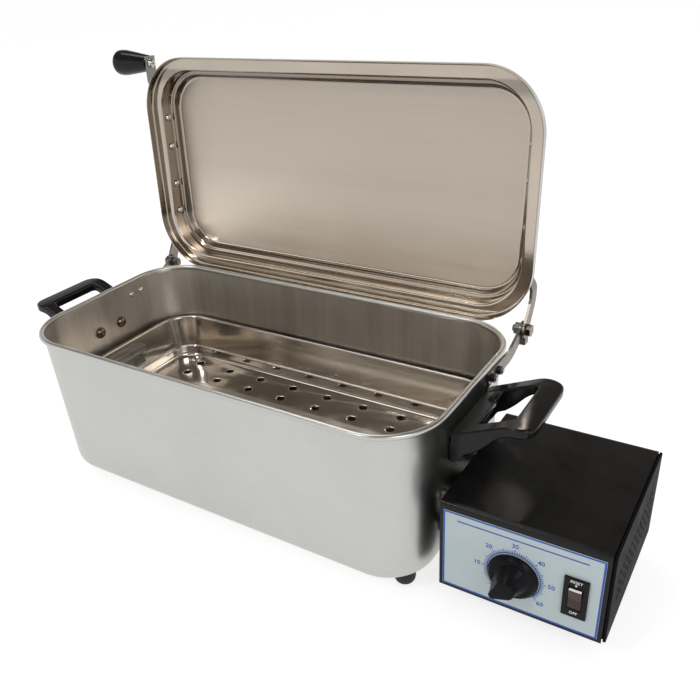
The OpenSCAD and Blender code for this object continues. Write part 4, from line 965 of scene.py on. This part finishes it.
def knob_skin():
    """Round skirt with a sloping shoulder, and a grip whose outline, a disc with a pointer, narrows
    upwards along a hollow curve and is rounded off at its top."""
    skirt = turned(eased([(0, 0.8, 0), (19, 0.8, 0.4), (19, 2.2, 0.8), (16.6, 5.2, 1.2), (11, 5.6, 0),
                          (0, 5.6, 0)], 5), 96)
    k = np.linspace(0, 1, 12)
    rings = [drop(*(KNOB_TOP + KNOB_FLARE * w)) for w in (1 - k) ** 1.5]
    levels = list(KNOB_LOW + KNOB_RISE * k)
    for q in np.linspace(0, math.pi / 2, 6)[1:]:
        rings.append(drop(*(KNOB_TOP - KNOB_ROUND * (1 - math.cos(q)))))
        levels.append(KNOB_LOW + KNOB_RISE + KNOB_ROUND * math.sin(q))
    middle = np.zeros_like(rings[0])
    rings = np.array([middle] + rings + [middle + [3.0, 0.0]])
    grip = closed(stacked(rings, [KNOB_LOW] + levels + [KNOB_LOW + KNOB_RISE + KNOB_ROUND]))
    c, s = math.cos(KNOB_ZERO), math.sin(KNOB_ZERO)
    grip = moved(grip, [[c, -s, 0], [s, c, 0], [0, 0, 1]])
    return at_front(joined(skirt, grip), KNOB_AT)


make("knob_skin", knob_skin(), "timer", KNOB, ("timer_knob",))


# ---- print on the front

def bar(x0, y0, x1, y1):
    """Thin printed rectangle facing +z."""
    return slab(oblong(x0, y0, x1, y1), 0.0, INK, 0.0, 0.0, 1)


def ring_line(inner, outer):
    """Thin printed ring facing +z."""
    return turned([[inner, 0], [outer, 0], [outer, INK], [inner, INK], [inner, 0]], 128)


def ticks():
    """Minute marks round the dial, longer at every fifth and tenth, as one grid of thin bars."""
    minute = np.arange(MINUTES)
    ten, five, one = TICK_LENS
    length = np.where(minute % 10 == 0, ten, np.where(minute % 5 == 0, five, one))
    out = arc((0, 0), 1.0, KNOB_ZERO - MINUTE_TURN * minute)
    side = np.stack([-out[:, 1], out[:, 0]], axis=1) * TICK_HALF
    near, far = out * DIAL_RING[1], out * (DIAL_RING[1] + length)[:, None]
    flat = np.stack([near - side, far - side, far + side, near + side], axis=1)
    points = np.concatenate([raised(flat, 0.0), raised(flat, INK)])
    base = (minute * 4)[:, None]
    top = base + MINUTES * 4
    sides = [np.concatenate([base + i, base + (i + 1) % 4, top + (i + 1) % 4, top + i], axis=1)
             for i in range(4)]
    quads = np.concatenate([base + [3, 2, 1, 0], top + [0, 1, 2, 3]] + sides)
    return points, quads, points[quads][..., :2] * MM


def words(text, size, at, y, heavy=0.0):
    """Lettering as a thin mesh centred on a point of the front, made heavier by an offset."""
    curve = bpy.data.curves.new("letters", "FONT")
    curve.body = text
    curve.size = size
    curve.align_x = "CENTER"
    curve.align_y = "CENTER"
    curve.extrude = INK / 2
    curve.offset = heavy
    curve.resolution_u = 4
    holder = linked("letters", curve)
    bpy.context.view_layer.update()
    mesh = bpy.data.meshes.new_from_object(holder.evaluated_get(bpy.context.evaluated_depsgraph_get()))
    bpy.data.objects.remove(holder)
    co = np.zeros(len(mesh.vertices) * 3, np.float32)
    mesh.vertices.foreach_get("co", co)
    co = co.reshape(-1, 3).astype(float)
    flat = np.stack([co[:, 0] + at[0], np.full(len(co), y) - co[:, 2] - INK / 2, co[:, 1] + at[1]], axis=1)
    mesh.vertices.foreach_set("co", settle(flat).astype(np.float32).ravel())
    mesh.update()
    return mesh


def front_print():
    """Border, heading rule, dial ring and minute marks."""
    cx, cz = (LABEL_X[0] + LABEL_X[1]) / 2, (LABEL_Z[0] + LABEL_Z[1]) / 2
    w, h, t = (LABEL_X[1] - LABEL_X[0]) / 2 - 0.15, (LABEL_Z[1] - LABEL_Z[0]) / 2 - 0.15, BORDER
    border = joined(bar(-w, h - t, w, h), bar(-w, -h, w, t - h), bar(-w, t - h, t - w, h - t),
                    bar(w - t, t - h, w, h - t), bar(-w + 11, h - 7.4, w - 11, h - 6.3))
    return joined(at_front(border, (cx, cz)), at_front(ring_line(*DIAL_RING), KNOB_AT),
                  at_front(ticks(), KNOB_AT))


make("front_print", front_print(), "base", BLUE_INK)
for minute in range(10, MINUTES, 10):
    angle = KNOB_ZERO - MINUTE_TURN * minute
    spot = (KNOB_AT[0] + NUMBERS_AT[0] * math.cos(angle), KNOB_AT[1] + NUMBERS_AT[1] * math.sin(angle))
    place("dial_%d" % minute, words(str(minute), 5.2, spot, LABEL_Y, 0.1), "base", BLUE_INK)
for word, size, rise in (("RESET", 3.2, 14.7), ("OFF", 3.3, -13.4)):
    spot = (SWITCH_AT[0], SWITCH_AT[1] + rise)
    mesh = words(word, size, spot, LABEL_Y - SWITCH_PROUD)
    place("word_" + word.lower(), mesh, "base", WHITE_INK)
DOT = turned([[0, 0], [0.7, 0], [0.7, INK], [0, INK]], 24)
DOT_AT = (SWITCH_AT[0], SWITCH_AT[1] + 12.0)
make("switch_dot", at_front(DOT, DOT_AT, SWITCH_PROUD), "base", WHITE_INK)


def rocker_bar():
    """White bar on the upper end of the rocker, turned with it about its pin."""
    plate = slab(oblong(-4.3, 2.4, 4.3, 4.4), 9.0, 9.0 + INK, 0.0, 0.0, 1)
    end = closed(moved(plate, [[1, 0, 0], [0, 0, 1], [0, 1, 0]]))
    return at_front(moved(end, about_x(ROCKER_TILT), (0, 0, -1.5)), SWITCH_AT)


make("rocker_bar", rocker_bar(), "switch_rocker", WHITE_INK)


# ---- nodes that keep their shape

dress(STRIP, "hinge_bracket_left", "hinge_bracket_right", "lid_arm_left", "lid_arm_right")
dress(DARK_NUT_AND_SHADE, "tray_handle_left", "tray_handle_right", edge=0.25)
dress(PAINTED_DARK_STEEL, "hinge_bolts", edge=0.25)
dress(FASTENER, "foot_studs", "panel_screws", "box_studs", "box_nuts", "timer_nut", "timer_shaft",
      "inlet_screws", edge=0.25)
dress(DARK_NUT_AND_SHADE, "bracket_nuts", "hinge_nuts", "box_spacers", edge=0.25)
dress(SHEATH, "heating_element", edge=0.1)
dress(BRASS, "heater_glands", "heater_nuts")
dress(RESIN, "boil_dry_cutout")
dress(SIDE_COAT, "box_base", "box_side_panel", edge=0.4)
dress(FILM, "label_plate", edge=0.15)
dress(PALE, "timer_body", "terminal_block")
dress(SWITCH, "switch_housing", "mains_inlet")
dress(ROCKER, "rocker", edge=0.3)
dress(SLEEVE, "wiring", edge=0.1)


# ---- stage, light and camera

def stage_floor():
    """Wide pale floor that is white to the camera and in reflections, less the shadow it takes."""
    m, tree, shader = started("pale_floor")
    tree.nodes.remove(shader)
    out = [n for n in tree.nodes if n.type == "OUTPUT_MATERIAL"][0]
    path = add(tree, "ShaderNodeLightPath")
    direct = path.outputs["Is Camera Ray"]
    seen = larger(tree, direct, path.outputs["Is Glossy Ray"])
    seen = larger(tree, seen, path.outputs["Is Transmission Ray"])
    matt = add(tree, "ShaderNodeBsdfDiffuse", {"Color": (0.9, 0.9, 0.9, 1)})
    bright = spread(tree, direct, 1.0, 1.22, 0, 1)
    glow = add(tree, "ShaderNodeEmission", {"Color": (1, 1, 1, 1), "Strength": bright})
    share = spread(tree, direct, 0.7, 0.62, 0, 1)
    share = add(tree, "ShaderNodeMath", {0: seen, 1: share}, operation="MULTIPLY").outputs[0]
    mix = add(tree, "ShaderNodeMixShader", {0: share, 1: matt.outputs[0], 2: glow.outputs[0]})
    tree.links.new(mix.outputs[0], out.inputs[0])
    mesh = bpy.data.meshes.new("floor")
    corners = oblong(-FLOOR_HALF, -FLOOR_HALF, FLOOR_HALF, FLOOR_HALF)
    mesh.from_pydata([(x, y, FLOOR_Z) for x, y in corners.tolist()], [], [(0, 1, 2, 3)])
    floor = linked("floor", mesh)
    mesh.materials.append(m)


def set_up(holder, axes, at):
    """Lamp or camera set at a place, with its three axes given."""
    turn = np.eye(4)
    turn[:3, :3] = np.stack(axes, axis=1)
    turn[:3, 3] = at
    holder.matrix_world = Matrix(turn.tolist())


def lamp(name, at, size, power):
    """Soft square lamp that looks at the lamps' target."""
    light = bpy.data.lights.new(name, "AREA")
    light.shape = "SQUARE"
    light.size = size
    light.energy = power
    away = np.subtract(at, LAMP_TARGET)
    z = away / np.linalg.norm(away)
    x = np.cross([0, 0, 1], z)
    x /= np.linalg.norm(x)
    set_up(linked(name, light), (x, np.cross(z, x), z), at)


def white_world():
    """World that is white to the camera and lights softly. In reflections it is white near the
    horizon and below it, and darkens upwards to a warm ceiling."""
    world = bpy.data.worlds.new("white_room")
    bpy.context.scene.world = world
    world.use_nodes = True
    tree = world.node_tree
    tree.nodes.clear()
    out = add(tree, "ShaderNodeOutputWorld")
    path = add(tree, "ShaderNodeLightPath")
    coords = add(tree, "ShaderNodeTexCoord")
    height = add(tree, "ShaderNodeSeparateXYZ", {0: coords.outputs["Generated"]}).outputs["Z"]
    ceiling = between(tree, spread(tree, height, 0, 1, 0.22, 0.52), (1.0, 1.0, 1.0), (0.16, 0.135, 0.115))
    soft = blend(tree, path.outputs["Is Glossy Ray"], (0.7, 0.7, 0.7, 1), ceiling)
    clear = larger(tree, path.outputs["Is Camera Ray"], path.outputs["Is Transmission Ray"])
    seen = blend(tree, clear, soft, (1, 1, 1, 1))
    glow = add(tree, "ShaderNodeBackground", {"Color": seen, "Strength": 1.0})
    tree.links.new(glow.outputs[0], out.inputs[0])


def camera():
    """Camera with the picture's angle, roll, focal length and centre."""
    a, e, r = CAMERA_AZ, CAMERA_EL, CAMERA_ROLL
    ahead = np.array([-math.sin(a) * math.cos(e), math.cos(a) * math.cos(e), -math.sin(e)])
    level = np.array([math.cos(a), math.sin(a), 0.0])
    above = np.cross(level, ahead)
    right = level * math.cos(r) + above * math.sin(r)
    up = -level * math.sin(r) + above * math.cos(r)
    data = bpy.data.cameras.new("camera")
    data.sensor_width = SENSOR
    data.lens = CAMERA_FOCAL * SENSOR / PICTURE
    data.shift_x = (PICTURE / 2 - CAMERA_CENTRE[0]) / PICTURE
    data.shift_y = (CAMERA_CENTRE[1] - PICTURE / 2) / PICTURE
    data.clip_start = 0.01
    holder = linked("camera", data)
    set_up(holder, (right, up, -ahead), settle(CAMERA_AT))
    bpy.context.scene.camera = holder


stage_floor()
white_world()
for row in LAMPS:
    lamp(*row)
camera()
bpy.context.scene.view_settings.view_transform = "Standard"
